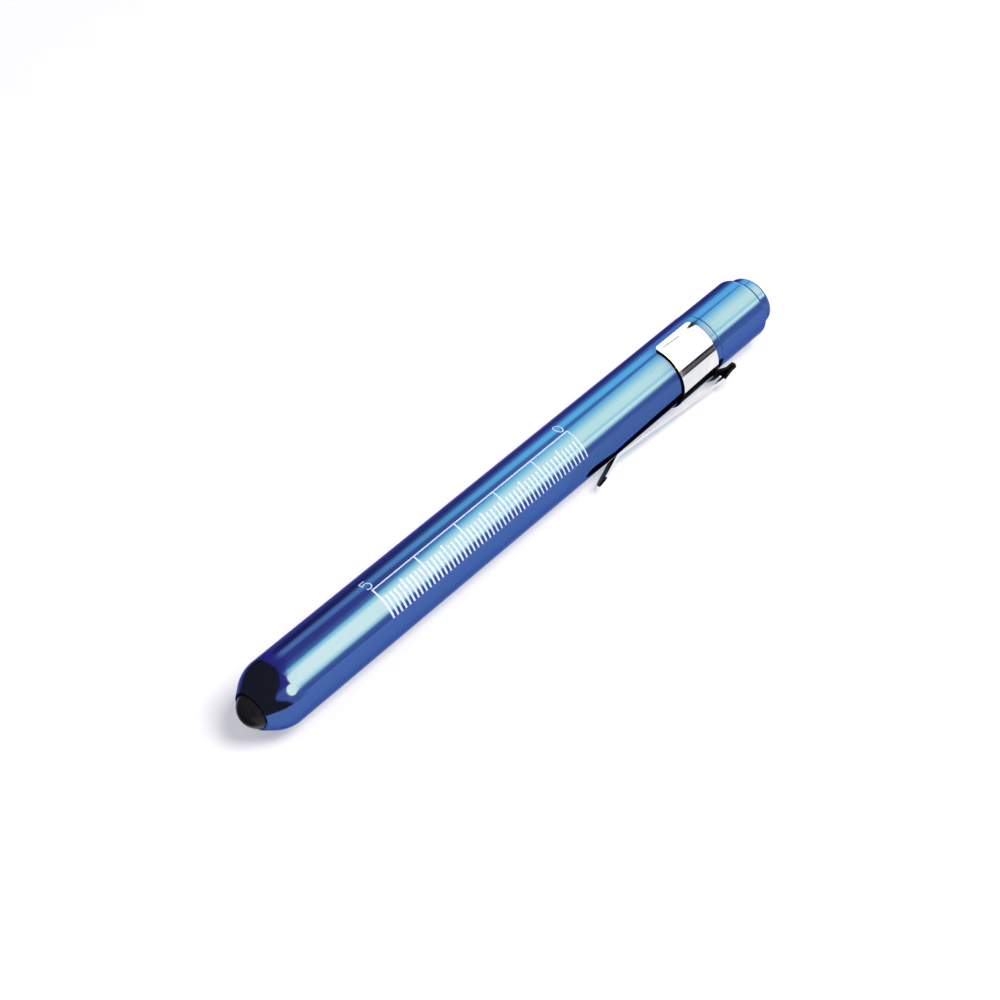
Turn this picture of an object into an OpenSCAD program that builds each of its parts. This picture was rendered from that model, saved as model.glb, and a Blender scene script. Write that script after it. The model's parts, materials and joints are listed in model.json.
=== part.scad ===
// Pocket penlight: a slim tube that holds two cells end to end, with a lamp behind a domed lens,
// a screwed tail cap with a push button, and a sheet steel pocket clip on a split band.
// It lies on its side in millimetres: +X runs from the lens to the button, +Z is up, the floor is Z = 0.

/* [Barrel] */
// Outside diameter of the barrel
barrel_d = 12.3; // [12.1:0.05:13]
// Outside diameter of the front rim, round the lens
rim_d = 7.26; // [7.1:0.02:7.6]
// Radius of the curve between the nose cone and the straight barrel
nose_arc_r = 7; // [6:0.1:7.5]
// Slope of the nose cone to the axis, in degrees
nose_slope = 37; // [34:1:40]
// Wall left between the nose curve's end and the start of the main bore, along the axis
bore_setback = 0.6; // [0:0.1:1.2]
// Chamfer on the rear edge of the barrel
rear_chamfer = 0.12; // [0:0.02:0.2]

/* [Lens] */
// Diameter of the lens where it passes through the rim
lens_d = 6.4; // [6:0.05:6.5]
// How far the lens dome stands out in front of the rim
lens_reach = 2.1; // [1.6:0.1:2.8]
// Wall thickness of the lens
lens_wall = 0.9; // [0.6:0.05:1.2]
// Depth from the rim to the front of the lens flange
lens_neck = 1.35; // [1.2:0.05:1.6]
// Width of the lens flange beyond the neck
lens_flange_w = 0.7; // [0.5:0.05:0.8]
// Thickness of the lens flange
lens_flange_t = 0.9; // [0.6:0.05:1.2]
// Thickness of the flat seal behind the lens
gasket_t = 0.8; // [0.5:0.05:1.2]
// Width of the flat seal
gasket_w = 1.1; // [0.7:0.05:1.3]

/* [Lamp] */
// Diameter of the lamp's clear body
led_d = 3; // [2.8:0.05:3.2]
// Length of the lamp's straight body between dome and flange
led_body_l = 3; // [2.5:0.1:3.5]
// Width of the lamp's flange beyond its body
led_flange_w = 0.4; // [0.3:0.05:0.6]
// Thickness of the lamp's flange
led_flange_t = 0.8; // [0.6:0.05:1]
// Diameter of each lamp lead
lead_d = 0.5; // [0.4:0.02:0.6]
// Distance between the two lamp leads
lead_pitch = 2.54; // [2.2:0.02:2.8]
// Diameter of the reflector's mouth
mouth_d = 5.6; // [5:0.1:6]
// Length of the reflector holder's wide body, which lies in the main bore
holder_l = 5.2; // [5:0.1:6]
// Length of the straight hole behind the reflector cone
holder_throat = 1.5; // [1:0.1:2]
// Thickness of the round circuit board
board_t = 1.2; // [1:0.1:1.6]

/* [Front contact] */
// Thickness of the insulating disc behind the board
insulator_t = 1.8; // [1.5:0.1:2.2]
// Height of the raised ring on the insulating disc
insulator_ring_h = 1.1; // [0.9:0.05:1.2]
// Width of the raised ring
insulator_ring_w = 1.6; // [1.2:0.1:2]
// Diameter of the contact rivet's shank
rivet_d = 1.2; // [1:0.05:1.4]
// Diameter of the contact rivet's head
rivet_head_d = 4.4; // [4:0.1:5]
// Thickness of the contact rivet's head
rivet_head_t = 0.5; // [0.4:0.05:0.7]

/* [Cells] */
// Overall length of one cell
cell_l = 44.5; // [43.8:0.1:44.6]
// Diameter of a cell over its sleeve
cell_d = 10.3; // [10.1:0.05:10.4]
// Thickness of a cell's printed sleeve
sleeve_t = 0.1; // [0.08:0.01:0.15]
// Width by which the sleeve laps over the can's ends
sleeve_lap = 0.8; // [0.5:0.1:1.2]
// Diameter of a cell's raised contact
nub_d = 3.6; // [3.2:0.1:3.8]
// Height of a cell's raised contact
nub_h = 1.2; // [1.1:0.05:1.4]
// Width of the seal round the raised contact
cell_seal_w = 1.2; // [0.9:0.1:1.5]
// Thickness of that seal
cell_seal_t = 0.3; // [0.2:0.02:0.4]

/* [Tail cap] */
// Outside diameter of the tail cap
cap_d = 12.16; // [11.9:0.02:12.3]
// Length of the tail cap that shows behind the barrel
cap_l = 14; // [13:0.1:15]
// Gap between the barrel's rear edge and the tail cap
cap_seam = 0.1; // [0.06:0.02:0.2]
// Radius of the tail cap's rounded rear edge
cap_edge_r = 0.75; // [0.5:0.05:0.85]
// Diameter of the threaded spigot over its crests
spigot_d = 11.2; // [11.1:0.02:11.24]
// How far the spigot reaches in front of the ring that holds the switch
spigot_lead = 0.4; // [0.2:0.1:0.8]
// Thread pitch
thread_pitch = 0.75; // [0.7:0.05:0.8]
// Thread depth
thread_depth = 0.24; // [0.18:0.01:0.26]
// Number of thread ridges
thread_count = 8; // [6:1:8]
// Section diameter of the tail cap's sealing ring
oring_d = 0.6; // [0.5:0.02:0.7]
// Distance from the spigot's root to the middle of the sealing ring
oring_setback = 1; // [0.8:0.05:1.3]
// Thickness of the ledge inside the tail cap behind the switch
ledge_t = 1; // [0.8:0.05:1.2]
// Width of that ledge beyond the switch
ledge_w = 0.4; // [0.3:0.05:0.6]
// Depth of the button's guide bore from the rear end
guide_l = 5.2; // [4.8:0.1:5.6]

/* [Button] */
// Diameter of the push button
button_d = 9.9; // [9.6:0.05:10]
// How far the button stands out of the tail cap
button_reach = 2.8; // [2.5:0.05:3.2]
// Travel of the button when it is pressed
button_travel = 2; // [1.5:0.1:2.2]
// Radius of the button's rounded edge
button_edge_r = 0.6; // [0.4:0.05:0.8]
// Side wall of the button
button_wall = 0.8; // [0.6:0.05:1]
// End wall of the button
button_end_t = 2.6; // [2.2:0.1:2.8]
// Depth of the plunger's seat in the button's end wall
stem_seat = 1; // [0.6:0.1:1.4]

/* [Switch] */
// Diameter of the switch housing
housing_d = 8.8; // [8.6:0.05:9]
// Length of the switch housing
housing_l = 15; // [14:0.1:15.5]
// Side wall of the switch housing
housing_wall = 0.7; // [0.5:0.05:0.9]
// End walls of the switch housing
housing_end_t = 1.4; // [1.2:0.05:1.6]
// Diameter of the plunger's stem
stem_d = 3.9; // [3.6:0.1:4.2]
// Diameter of the plunger's flange
plunger_flange_d = 6.4; // [6:0.1:6.8]
// Thickness of the plunger's flange
plunger_flange_t = 1.2; // [1:0.05:1.4]
// Length of the plunger's stem in front of its flange
plunger_nose_l = 5.4; // [5:0.1:5.8]
// Diameter of the moving contact on the plunger's end
moving_contact_d = 5.4; // [5:0.1:5.8]
// Thickness of the moving contact
moving_contact_t = 0.7; // [0.5:0.05:0.9]
// Diameter of the switch terminal's shank
terminal_d = 1.8; // [1.6:0.05:2]
// Diameter of the terminal's plate, which carries the cell spring
terminal_plate_d = 7; // [6.8:0.1:7.4]
// Thickness of that plate
terminal_plate_t = 0.6; // [0.5:0.05:0.8]
// Diameter of the terminal's head inside the switch
terminal_head_d = 4.6; // [4.2:0.1:5]
// Length of the ring that holds the switch in the tail cap
retainer_l = 1.5; // [1.2:0.05:1.8]
// Width of that ring
retainer_w = 0.6; // [0.5:0.05:0.8]

/* [Springs] */
// Length of the cell spring between the rear cell and the switch
cell_spring_l = 6.35; // [6:0.05:7]
// Wire diameter of the cell spring
cell_spring_wire = 0.6; // [0.5:0.02:0.64]
// Mean diameter of the cell spring at the switch
cell_spring_d = 6; // [5.6:0.1:6.2]
// Mean diameter of the cell spring at the cell
cell_spring_tip_d = 4.6; // [4:0.1:5]
// Number of curls in the cell spring
cell_spring_curls = 3; // [2:1:3]
// Wire diameter of the button's return spring
return_spring_wire = 0.44; // [0.36:0.02:0.5]
// Mean diameter of the return spring
return_spring_d = 6; // [5.6:0.1:6.2]
// Number of curls in the return spring
return_spring_curls = 4; // [3:1:4]

/* [Clip] */
// Sheet thickness of the clip's band
band_t = 0.4; // [0.3:0.02:0.5]
// Length of the band along the barrel
band_l = 10.3; // [9.5:0.1:11]
// Distance from the band's rear edge to the barrel's rear edge
band_setback = 2.05; // [1.8:0.05:2.4]
// Angle that the band wraps round the barrel, in degrees
band_wrap = 260; // [240:5:280]
// Radius of the band's corners
band_corner_r = 1; // [0.6:0.1:1.4]
// Angle of the clip from straight up, towards the near side, in degrees
clip_turn = 121; // [110:1:122]
// Sheet thickness of the clip arm
arm_t = 0.45; // [0.4:0.01:0.5]
// Width of the clip arm at its root
arm_root_w = 5; // [4.6:0.1:5.2]
// Width of the clip arm at its tip
arm_tip_w = 4; // [3.6:0.1:4.4]
// Inside radius of the fold at the clip's root
fold_r = 0.2; // [0.15:0.01:0.26]
// Length of the fold's root inside the band
fold_lap = 0.6; // [0.4:0.1:1]
// Distance from the band's rear edge to the centre of the fold
fold_setback = 3.3; // [3:0.05:3.6]
// Gap between the band's outer face and the inner leg of the fold
fold_lift = 0.2; // [0.15:0.01:0.3]
// Height of the arm's crest above the fold
crest_rise = 0.48; // [0.4:0.01:0.5]
// Distance from the fold's centre to the arm's crest
crest_setback = 3.8; // [3.4:0.1:4.2]
// Distance from the arm's crest to the bend that touches the barrel
arm_l = 29.1; // [27:0.1:31]
// Length of the flared lip in front of that bend
lip_l = 6.3; // [5.5:0.1:7]
// Slope of the flared lip, in degrees
lip_slope = 18; // [14:1:20]
// Radius of the arm's bends along its middle
arm_bend_r = 1.6; // [0.8:0.1:2]

/* [Clearances] */
// Radial gap round a part that is seated by hand
seat_gap = 0.05; // [0.03:0.01:0.08]
// Radial gap round a part that slides or turns
slide_gap = 0.07; // [0.05:0.01:0.09]
// Radial gap round the cells
cell_gap = 0.3; // [0.25:0.05:0.35]
// Gap between the clip and the barrel
clip_gap = 0.02; // [0.02:0.01:0.04]
// End gap of parts that are stacked along the axis
stack_gap = 0.05; // [0.02:0.01:0.08]

/* [Hidden] */
$fn = 96;
// Overrun of every cut past the face it opens
over = 0.5;

// Stations along the axis, counted from the tip of the lens
rim_x = lens_reach;
flange_x = rim_x + lens_neck;
gasket_x = flange_x + lens_flange_t;
holder_x = gasket_x + gasket_t + stack_gap;
cone_end_x = rim_x + (barrel_d / 2 - nose_arc_r * (1 - cos(nose_slope)) - rim_d / 2) / tan(nose_slope);
nose_end_x = cone_end_x + nose_arc_r * sin(nose_slope);
bore_x = nose_end_x - bore_setback;
board_x = bore_x + stack_gap + holder_l;
insulator_x = board_x + board_t;
contact_x = insulator_x + insulator_t;
front_cell_x = contact_x + rivet_head_t;
rear_cell_x = front_cell_x + cell_l;
cells_end_x = rear_cell_x + cell_l;
terminal_x = cells_end_x + cell_spring_l;
housing_x = terminal_x + terminal_plate_t;
housing_end_x = housing_x + housing_l;
spigot_x = housing_x - retainer_l - spigot_lead;
guide_x = housing_end_x + ledge_t;
cap_end_x = guide_x + guide_l;
cap_x = cap_end_x - cap_l;
barrel_rear_x = cap_x - cap_seam;
button_end_x = cap_end_x + button_reach;
button_floor_x = button_end_x - button_end_t;
button_x = guide_x + button_travel + stack_gap;
plunger_flange_x = housing_end_x - housing_end_t - stack_gap - plunger_flange_t;
plunger_x = plunger_flange_x - plunger_nose_l;
band_end_x = barrel_rear_x - band_setback;
band_x = band_end_x - band_l;
pen_l = button_end_x;

// Radii
barrel_r = barrel_d / 2;
rim_r = rim_d / 2;
bore_r = cell_d / 2 + cell_gap;
lens_r = lens_d / 2;
flange_r = lens_r + lens_flange_w;
stack_r = bore_r - seat_gap;
cell_r = cell_d / 2;
can_r = cell_r - sleeve_t;
sleeve_lap_r = can_r - sleeve_lap;
spigot_r = spigot_d / 2;
socket_r = spigot_r + slide_gap;
thread_root_r = spigot_r - thread_depth;
oring_mid_r = spigot_r + slide_gap / 2 - oring_d / 2;
cap_r = cap_d / 2;
housing_r = housing_d / 2;
button_r = button_d / 2;
stem_r = stem_d / 2;
led_r = led_d / 2;
band_in_r = barrel_r + clip_gap;
band_r = band_in_r + band_t;

// The clip's profile: station and radius of its centre line
fold_mid_r = band_r + fold_lift + arm_t + fold_r;
fold_x = band_end_x + fold_setback;
fold_path_r = fold_r + arm_t / 2;
fold_lead = arm_t;
arm_x = fold_x - fold_lead;
arm_r = fold_mid_r + fold_path_r;
crest_x = fold_x - crest_setback;
crest_r = arm_r + crest_rise;
bend_x = crest_x - arm_l;
bend_r = band_in_r + arm_t / 2;
lip_x = bend_x - lip_l * cos(lip_slope);
lip_r = bend_r + lip_l * sin(lip_slope);

// The pen rests on its band, and its own middle in plan is the origin
axis_z = band_r;
band_edge_turn = min(clip_turn + band_wrap / 2, 270);
far_reach = max(barrel_r, -band_r * sin(band_edge_turn));
crest_w = arm_root_w - (arm_root_w - arm_tip_w) * crest_setback / (fold_x - lip_x - arm_tip_w / 2);
near_reach = max(band_r, (crest_r + arm_t / 2) * sin(clip_turn) - crest_w / 2 * cos(clip_turn));
axis_y = (near_reach - far_reach) / 2;

// Lays a piece that is built along +Z from the lens tip down along +X
module laid() {
    translate([-pen_l / 2, axis_y, axis_z]) rotate([0, 90, 0]) children();
}

// A plain disc or rod from one station to the next
module rod(x, l, r) {
    translate([0, 0, x]) cylinder(h = l, r = r);
}

// A tube from one station to the next
module tube(x, l, r, bore) {
    difference() {
        rod(x, l, r);
        rod(x - over, l + 2 * over, bore);
    }
}

// A rod whose far end has a rounded edge
module rounded_rod(x, l, r, edge) {
    translate([0, 0, x]) rotate_extrude() {
        square([r, l - edge]);
        square([r - edge, l]);
        translate([r - edge, l - edge]) intersection() {
            circle(r = edge);
            square(edge);
        }
    }
}

// Half profile of the nose: a cone, then an arc that runs into the straight barrel
module nose_profile() {
    arc_r = barrel_r - nose_arc_r;
    join_r = arc_r + nose_arc_r * cos(nose_slope);
    polygon([[0, rim_x], [rim_r, rim_x], [join_r, cone_end_x], [0, cone_end_x]]);
    intersection() {
        translate([arc_r, nose_end_x]) circle(r = nose_arc_r, $fn = 180);
        translate([0, cone_end_x]) square([barrel_r, nose_end_x - cone_end_x]);
    }
}

module barrel() {
    color("royalblue") laid() difference() {
        union() {
            rotate_extrude() nose_profile();
            rod(nose_end_x, barrel_rear_x - rear_chamfer - nose_end_x, barrel_r);
            translate([0, 0, barrel_rear_x - rear_chamfer])
                cylinder(h = rear_chamfer, r1 = barrel_r, r2 = barrel_r - rear_chamfer);
        }
        rod(rim_x - over, lens_neck + 2 * over, lens_r + seat_gap);
        rod(flange_x, bore_x - flange_x + over, flange_r + seat_gap);
        rod(bore_x, barrel_rear_x - bore_x + over, bore_r);
        rod(spigot_x - stack_gap, barrel_rear_x - spigot_x + stack_gap + over, socket_r);
    }
}

// Ball radius of a dome that spans a base radius at a height
function dome_r(base, h) = (base * base + h * h) / (2 * h);

module lens() {
    outer_r = dome_r(lens_r, lens_reach);
    inner_r = dome_r(lens_r - lens_wall, lens_reach - lens_wall / 2);
    color("black") laid() difference() {
        union() {
            intersection() {
                translate([0, 0, outer_r]) sphere(r = outer_r);
                rod(0, lens_reach, lens_r);
            }
            rod(lens_reach, lens_neck + over, lens_r);
            rod(flange_x + stack_gap, lens_flange_t - stack_gap, flange_r);
        }
        intersection() {
            translate([0, 0, inner_r + lens_wall / 2]) sphere(r = inner_r);
            rod(0, lens_reach, lens_r - lens_wall);
        }
        rod(lens_reach, gasket_x, lens_r - lens_wall);
    }
}

module lens_gasket() {
    color("dimgray") laid() tube(gasket_x, gasket_t, flange_r, flange_r - gasket_w);
}

module lamp_holder() {
    throat_x = board_x - led_flange_t - holder_throat;
    color("darkslategray") laid() difference() {
        union() {
            rod(holder_x, bore_x - holder_x + over, flange_r);
            rod(bore_x + stack_gap, holder_l, stack_r);
        }
        translate([0, 0, holder_x])
            cylinder(h = throat_x - holder_x, r1 = mouth_d / 2, r2 = led_r + seat_gap);
        rod(throat_x - over, holder_throat + 2 * over, led_r + seat_gap);
        rod(board_x - led_flange_t, led_flange_t + over, led_r + led_flange_w + seat_gap);
    }
}

module lamp() {
    body_x = board_x - led_flange_t - led_body_l;
    color("white") laid() {
        rod(board_x - led_flange_t, led_flange_t, led_r + led_flange_w);
        rod(body_x, led_body_l, led_r);
        intersection() {
            translate([0, 0, body_x]) sphere(r = led_r);
            rod(body_x - led_r, led_r, led_r);
        }
    }
}

// Places a child at each lamp lead
module at_leads() {
    for (side = [-1, 1]) translate([0, side * lead_pitch / 2, 0]) children();
}

module lamp_leads() {
    color("silver") laid() at_leads() rod(board_x, board_t + lead_d, lead_d / 2);
}

module lamp_board() {
    color("seagreen") laid() difference() {
        rod(board_x, board_t, stack_r);
        at_leads() rod(board_x - over, board_t + 2 * over, lead_d / 2 + seat_gap);
    }
}

module contact_insulator() {
    color("ivory") laid() difference() {
        union() {
            rod(insulator_x, insulator_t, stack_r);
            tube(insulator_x, insulator_t + insulator_ring_h, stack_r, stack_r - insulator_ring_w);
        }
        rod(insulator_x - over, insulator_t + 2 * over, rivet_d / 2 + seat_gap);
        at_leads() rod(insulator_x - over, lead_d + stack_gap + over, lead_d / 2 + seat_gap);
    }
}

module front_contact() {
    color("goldenrod") laid() {
        rod(insulator_x, insulator_t + rivet_head_t, rivet_d / 2);
        rod(contact_x, rivet_head_t, rivet_head_d / 2);
    }
}

// A cell's steel can, from the seal at its front to its flat rear end
module cell_can(x) {
    color("lightsteelblue") laid() difference() {
        union() {
            rod(x + nub_h, cell_l - nub_h - sleeve_t, can_r);
            rod(x + nub_h, cell_l - nub_h, sleeve_lap_r - seat_gap);
        }
        rod(x + nub_h - over, cell_seal_t + over, nub_d / 2 + cell_seal_w);
    }
}

// A cell's raised contact
module cell_contact(x) {
    color("gainsboro") laid() rod(x, nub_h + cell_seal_t, nub_d / 2);
}

// The seal round a cell's raised contact
module cell_seal(x) {
    color("dimgray") laid() tube(x + nub_h, cell_seal_t, nub_d / 2 + cell_seal_w, nub_d / 2);
}

// A cell's printed sleeve, lapped over both ends of the can
module cell_sleeve(x) {
    color("darkgreen") laid() difference() {
        rod(x + nub_h - sleeve_t, cell_l - nub_h + sleeve_t, cell_r);
        rod(x + nub_h, cell_l - nub_h - sleeve_t, can_r);
        rod(x + nub_h - sleeve_t - over, cell_l + 2 * over, sleeve_lap_r);
    }
}

module front_cell_can() { cell_can(front_cell_x); }
module front_cell_contact() { cell_contact(front_cell_x); }
module front_cell_seal() { cell_seal(front_cell_x); }
module front_cell_sleeve() { cell_sleeve(front_cell_x); }
module rear_cell_can() { cell_can(rear_cell_x); }
module rear_cell_contact() { cell_contact(rear_cell_x); }
module rear_cell_seal() { cell_seal(rear_cell_x); }
module rear_cell_sleeve() { cell_sleeve(rear_cell_x); }

// Wound wire: stations per curl and sides of the wire
curl_rings = 8;
wire_sides = 6;

// Centre line of a spring between two stations, with a straight run at both ends
function wound(x0, x1, d0, d1, curls, wire) =
    let (n = curls * curl_rings, lo = x0 + wire, hi = x1 - wire)
    concat([[d0 / 2, 0, x0]],
        [for (i = [0:n]) let (s = i / n, r = (d0 + (d1 - d0) * s) / 2, a = 360 * curls * s)
            [r * cos(a), r * sin(a), lo + (hi - lo) * s]],
        [[d1 / 2, 0, x1]]);

function unit(v) = v / norm(v);
function heading(p, i) = unit(unit(p[min(i + 1, len(p) - 1)] - p[max(i - 1, 0)]));

// One ring of the wire's surface round a point of the centre line
function ring(p, i, r) =
    let (t = heading(p, i), n = unit([p[i].x, p[i].y, 0]), b = unit(cross(t, n)), m = cross(b, t))
    [for (k = [0:wire_sides - 1]) let (a = 360 * k / wire_sides) p[i] + r * (m * cos(a) + b * sin(a))];

// Least gap between stretches of the wire that are half a curl or more apart
function least_gap(p, wire) =
    min([for (i = [0:len(p) - 1], j = [i + curl_rings / 2:1:len(p) - 1]) norm(p[i] - p[j])]) - wire;

// Solid wire along a centre line
module wire_along(p, wire) {
    last = len(p) - 1;
    skin = [for (i = [0:last], q = ring(p, i, wire / 2)) q];
    walls = [for (i = [0:last - 1], k = [0:wire_sides - 1])
        let (a = i * wire_sides + k, b = i * wire_sides + (k + 1) % wire_sides)
        each [[a, b, b + wire_sides], [a, b + wire_sides, a + wire_sides]]];
    front = [for (k = [1:wire_sides - 2]) [0, k + 1, k]];
    base = last * wire_sides;
    back = [for (k = [1:wire_sides - 2]) [base, base + k, base + k + 1]];
    polyhedron(points = skin, faces = concat(walls, front, back), convexity = 10);
}

module cell_spring() {
    path = wound(cells_end_x, terminal_x, cell_spring_tip_d, cell_spring_d, cell_spring_curls,
        cell_spring_wire);
    echo("cell spring, least gap to itself", least_gap(path, cell_spring_wire));
    color("silver") laid() wire_along(path, cell_spring_wire);
}

module return_spring() {
    path = wound(housing_end_x, button_floor_x, return_spring_d, return_spring_d, return_spring_curls,
        return_spring_wire);
    echo("return spring, least gap to itself", least_gap(path, return_spring_wire));
    color("silver") laid() wire_along(path, return_spring_wire);
}

// Rings of thread cut into the spigot, one pitch apart
module thread_grooves() {
    for (i = [0:thread_count - 1]) translate([0, 0, spigot_x + (i + 0.5) * thread_pitch])
        rotate_extrude() polygon([[thread_root_r, 0], [spigot_r + thread_depth, thread_pitch / 2],
            [spigot_r + thread_depth, -thread_pitch / 2]]);
}

module tail_cap() {
    groove_x = barrel_rear_x - oring_setback;
    color("royalblue") laid() difference() {
        union() {
            rod(spigot_x, cap_x - spigot_x + over, spigot_r);
            rounded_rod(cap_x, cap_l, cap_r, cap_edge_r);
        }
        thread_grooves();
        tube(groove_x - oring_d / 2 - stack_gap, oring_d + 2 * stack_gap, spigot_r + over,
            oring_mid_r - oring_d / 2 - stack_gap);
        rod(spigot_x - over, housing_end_x - spigot_x + over, housing_r + seat_gap);
        rod(housing_end_x - over, ledge_t + 2 * over, housing_r - ledge_w);
        rod(guide_x, guide_l + over, button_r + slide_gap);
    }
}

module cap_seal_ring() {
    color("black") laid() translate([0, 0, barrel_rear_x - oring_setback])
        rotate_extrude() translate([oring_mid_r, 0]) circle(r = oring_d / 2, $fn = 32);
}

module switch_housing() {
    in_x = housing_x + housing_end_t;
    color("darkslategray") laid() difference() {
        rod(housing_x, housing_l, housing_r);
        rod(in_x, housing_l - 2 * housing_end_t, housing_r - housing_wall);
        rod(housing_x - over, housing_end_t + 2 * over, terminal_d / 2 + seat_gap);
        rod(housing_end_x - housing_end_t - over, housing_end_t + 2 * over, stem_r + slide_gap);
    }
}

// The terminal's inner head stops just short of the pressed moving contact
module switch_terminal() {
    in_x = housing_x + housing_end_t;
    tip_x = plunger_x - moving_contact_t - button_travel - stack_gap;
    color("goldenrod") laid() {
        rod(terminal_x, terminal_plate_t, terminal_plate_d / 2);
        rod(terminal_x, tip_x - terminal_x, terminal_d / 2);
        rod(in_x, tip_x - in_x, terminal_head_d / 2);
    }
}

module switch_retainer() {
    color("silver") laid() tube(housing_x - retainer_l, retainer_l, housing_r + seat_gap / 2,
        housing_r - retainer_w);
}

module plunger() {
    color("whitesmoke") laid() {
        rod(plunger_x, button_floor_x + stem_seat - plunger_x, stem_r);
        rod(plunger_flange_x, plunger_flange_t, plunger_flange_d / 2);
    }
}

module moving_contact() {
    color("goldenrod") laid() rod(plunger_x - moving_contact_t, moving_contact_t, moving_contact_d / 2);
}

module push_button() {
    color("royalblue") laid() difference() {
        rounded_rod(button_x, button_end_x - button_x, button_r, button_edge_r);
        rod(button_x - over, button_floor_x - button_x + over, button_r - button_wall);
        rod(button_floor_x - over, stem_seat + over, stem_r + seat_gap);
    }
}

// Stands the clip's parts at their angle round the barrel, built with their middle plane upwards
module clip_turned() {
    laid() rotate([0, 0, clip_turn]) children();
}

// Extrudes a profile of station and radius across the clip's width
module across(w) {
    rotate([90, -90, 0]) linear_extrude(height = w, center = true) children();
}

// Extrudes a plan of station and width outwards from the axis
module outwards(h) {
    rotate([0, -90, 0]) linear_extrude(height = h) children();
}

// Points of an arc from one angle to another
arc_steps = 12;
function arc(c, r, a0, a1) =
    [for (i = [0:arc_steps]) let (a = a0 + (a1 - a0) * i / arc_steps) c + r * [cos(a), sin(a)]];

// Arc that rounds the corner at b between its neighbours a and c
function bend(a, b, c, r) =
    let (u = unit(a - b), v = unit(c - b), half = acos(u * v) / 2, m = b + unit(u + v) * r / sin(half),
        turn = sign(cross(u, v)), a0 = atan2(-turn * u.x, turn * u.y))
    arc(m, r, a0, a0 - turn * (180 - 2 * half));

// Offset of a centre line's point to one side, mitred between its two stretches
function side_of(p, i, d) =
    let (a = unit(p[max(i, 1)] - p[max(i, 1) - 1]), j = min(i, len(p) - 2), b = unit(p[j + 1] - p[j]),
        m = unit(a + b), n = [-m.y, m.x])
    p[i] + n * d / (m * a);

// Strip of sheet along a centre line
module strip(p, t) {
    last = len(p) - 1;
    polygon(concat([for (i = [0:last]) side_of(p, i, t / 2)],
        [for (i = [last:-1:0]) side_of(p, i, -t / 2)]));
}

// The sheet of the fold: from the band's rear edge out and back over itself
function fold_path() = let (leg_r = fold_mid_r - fold_path_r, root_r = band_in_r + arm_t / 2)
    concat([[band_end_x - fold_lap, root_r], [band_end_x, root_r], [band_end_x + fold_setback / 2, leg_r]],
        arc([fold_x, fold_mid_r], fold_path_r, -90, 90), [[arm_x, arm_r]]);

// The sheet of the arm: straight from the fold, over the crest and down to the bend, then out to the lip
function arm_path() = let (root = [arm_x, arm_r], lead = [arm_x - fold_lead, arm_r],
    crest = [crest_x, crest_r], foot = [bend_x, bend_r], tip = [lip_x, lip_r])
    concat([root, lead], bend(lead, crest, foot, arm_bend_r), bend(crest, foot, tip, arm_bend_r), [tip]);

// Cuts one corner of the band to a round, in the sheet's own plane
module corner_cut() {
    reach = band_r + over;
    rotate([90, 0, 90]) linear_extrude(height = reach) difference() {
        translate([-over, -over]) square(band_corner_r + over);
        translate([band_corner_r, band_corner_r]) circle(r = band_corner_r, $fn = 32);
    }
}

module clip_band() {
    half_gap = (360 - band_wrap) / 2;
    color("silver") clip_turned() {
        difference() {
            rotate([0, 0, half_gap]) rotate_extrude(angle = band_wrap)
                translate([band_in_r, band_x]) square([band_t, band_l]);
            rotate([0, 0, half_gap]) translate([0, 0, band_x]) corner_cut();
            rotate([0, 0, half_gap]) translate([0, 0, band_end_x]) mirror([0, 0, 1]) corner_cut();
            rotate([0, 0, -half_gap]) mirror([0, 1, 0]) translate([0, 0, band_x]) corner_cut();
            rotate([0, 0, -half_gap]) mirror([0, 1, 0]) translate([0, 0, band_end_x])
                mirror([0, 0, 1]) corner_cut();
        }
        difference() {
            across(arm_root_w) strip(fold_path(), arm_t);
            rod(0, band_end_x, band_r - band_t / 2);
            rod(band_end_x - over, pen_l, cap_r + clip_gap);
        }
    }
}

module clip_arm() {
    tip_r = arm_tip_w / 2;
    color("silver") clip_turned() intersection() {
        across(arm_root_w) strip(arm_path(), arm_t);
        outwards(2 * crest_r) {
            polygon([[lip_x + tip_r, -tip_r], [fold_x, -arm_root_w / 2], [fold_x, arm_root_w / 2],
                [lip_x + tip_r, tip_r]]);
            translate([lip_x + tip_r, 0]) circle(r = tip_r);
        }
    }
}

barrel();
lens();
lens_gasket();
lamp_holder();
lamp();
lamp_leads();
lamp_board();
contact_insulator();
front_contact();
front_cell_can();
front_cell_contact();
front_cell_seal();
front_cell_sleeve();
rear_cell_can();
rear_cell_contact();
rear_cell_seal();
rear_cell_sleeve();
cell_spring();
tail_cap();
cap_seal_ring();
switch_housing();
switch_terminal();
switch_retainer();
plunger();
moving_contact();
return_spring();
push_button();
clip_band();
clip_arm();
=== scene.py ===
"""Looks of a slim pocket penlight that lies on its side.

The light is a blue anodised tube with a printed ruler, a smoked lens, a screwed tail cap with a push button, and a
chromed sheet steel pocket clip. Sizes are in millimetres, stations run along the axis from the lens tip, and turns
are in degrees from straight up towards the near side.
"""

import json
import logging
import math
from dataclasses import dataclass, field
from enum import Enum
from typing import Callable, Sequence

import bmesh
import bpy
from mathutils import Matrix, Vector

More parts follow.
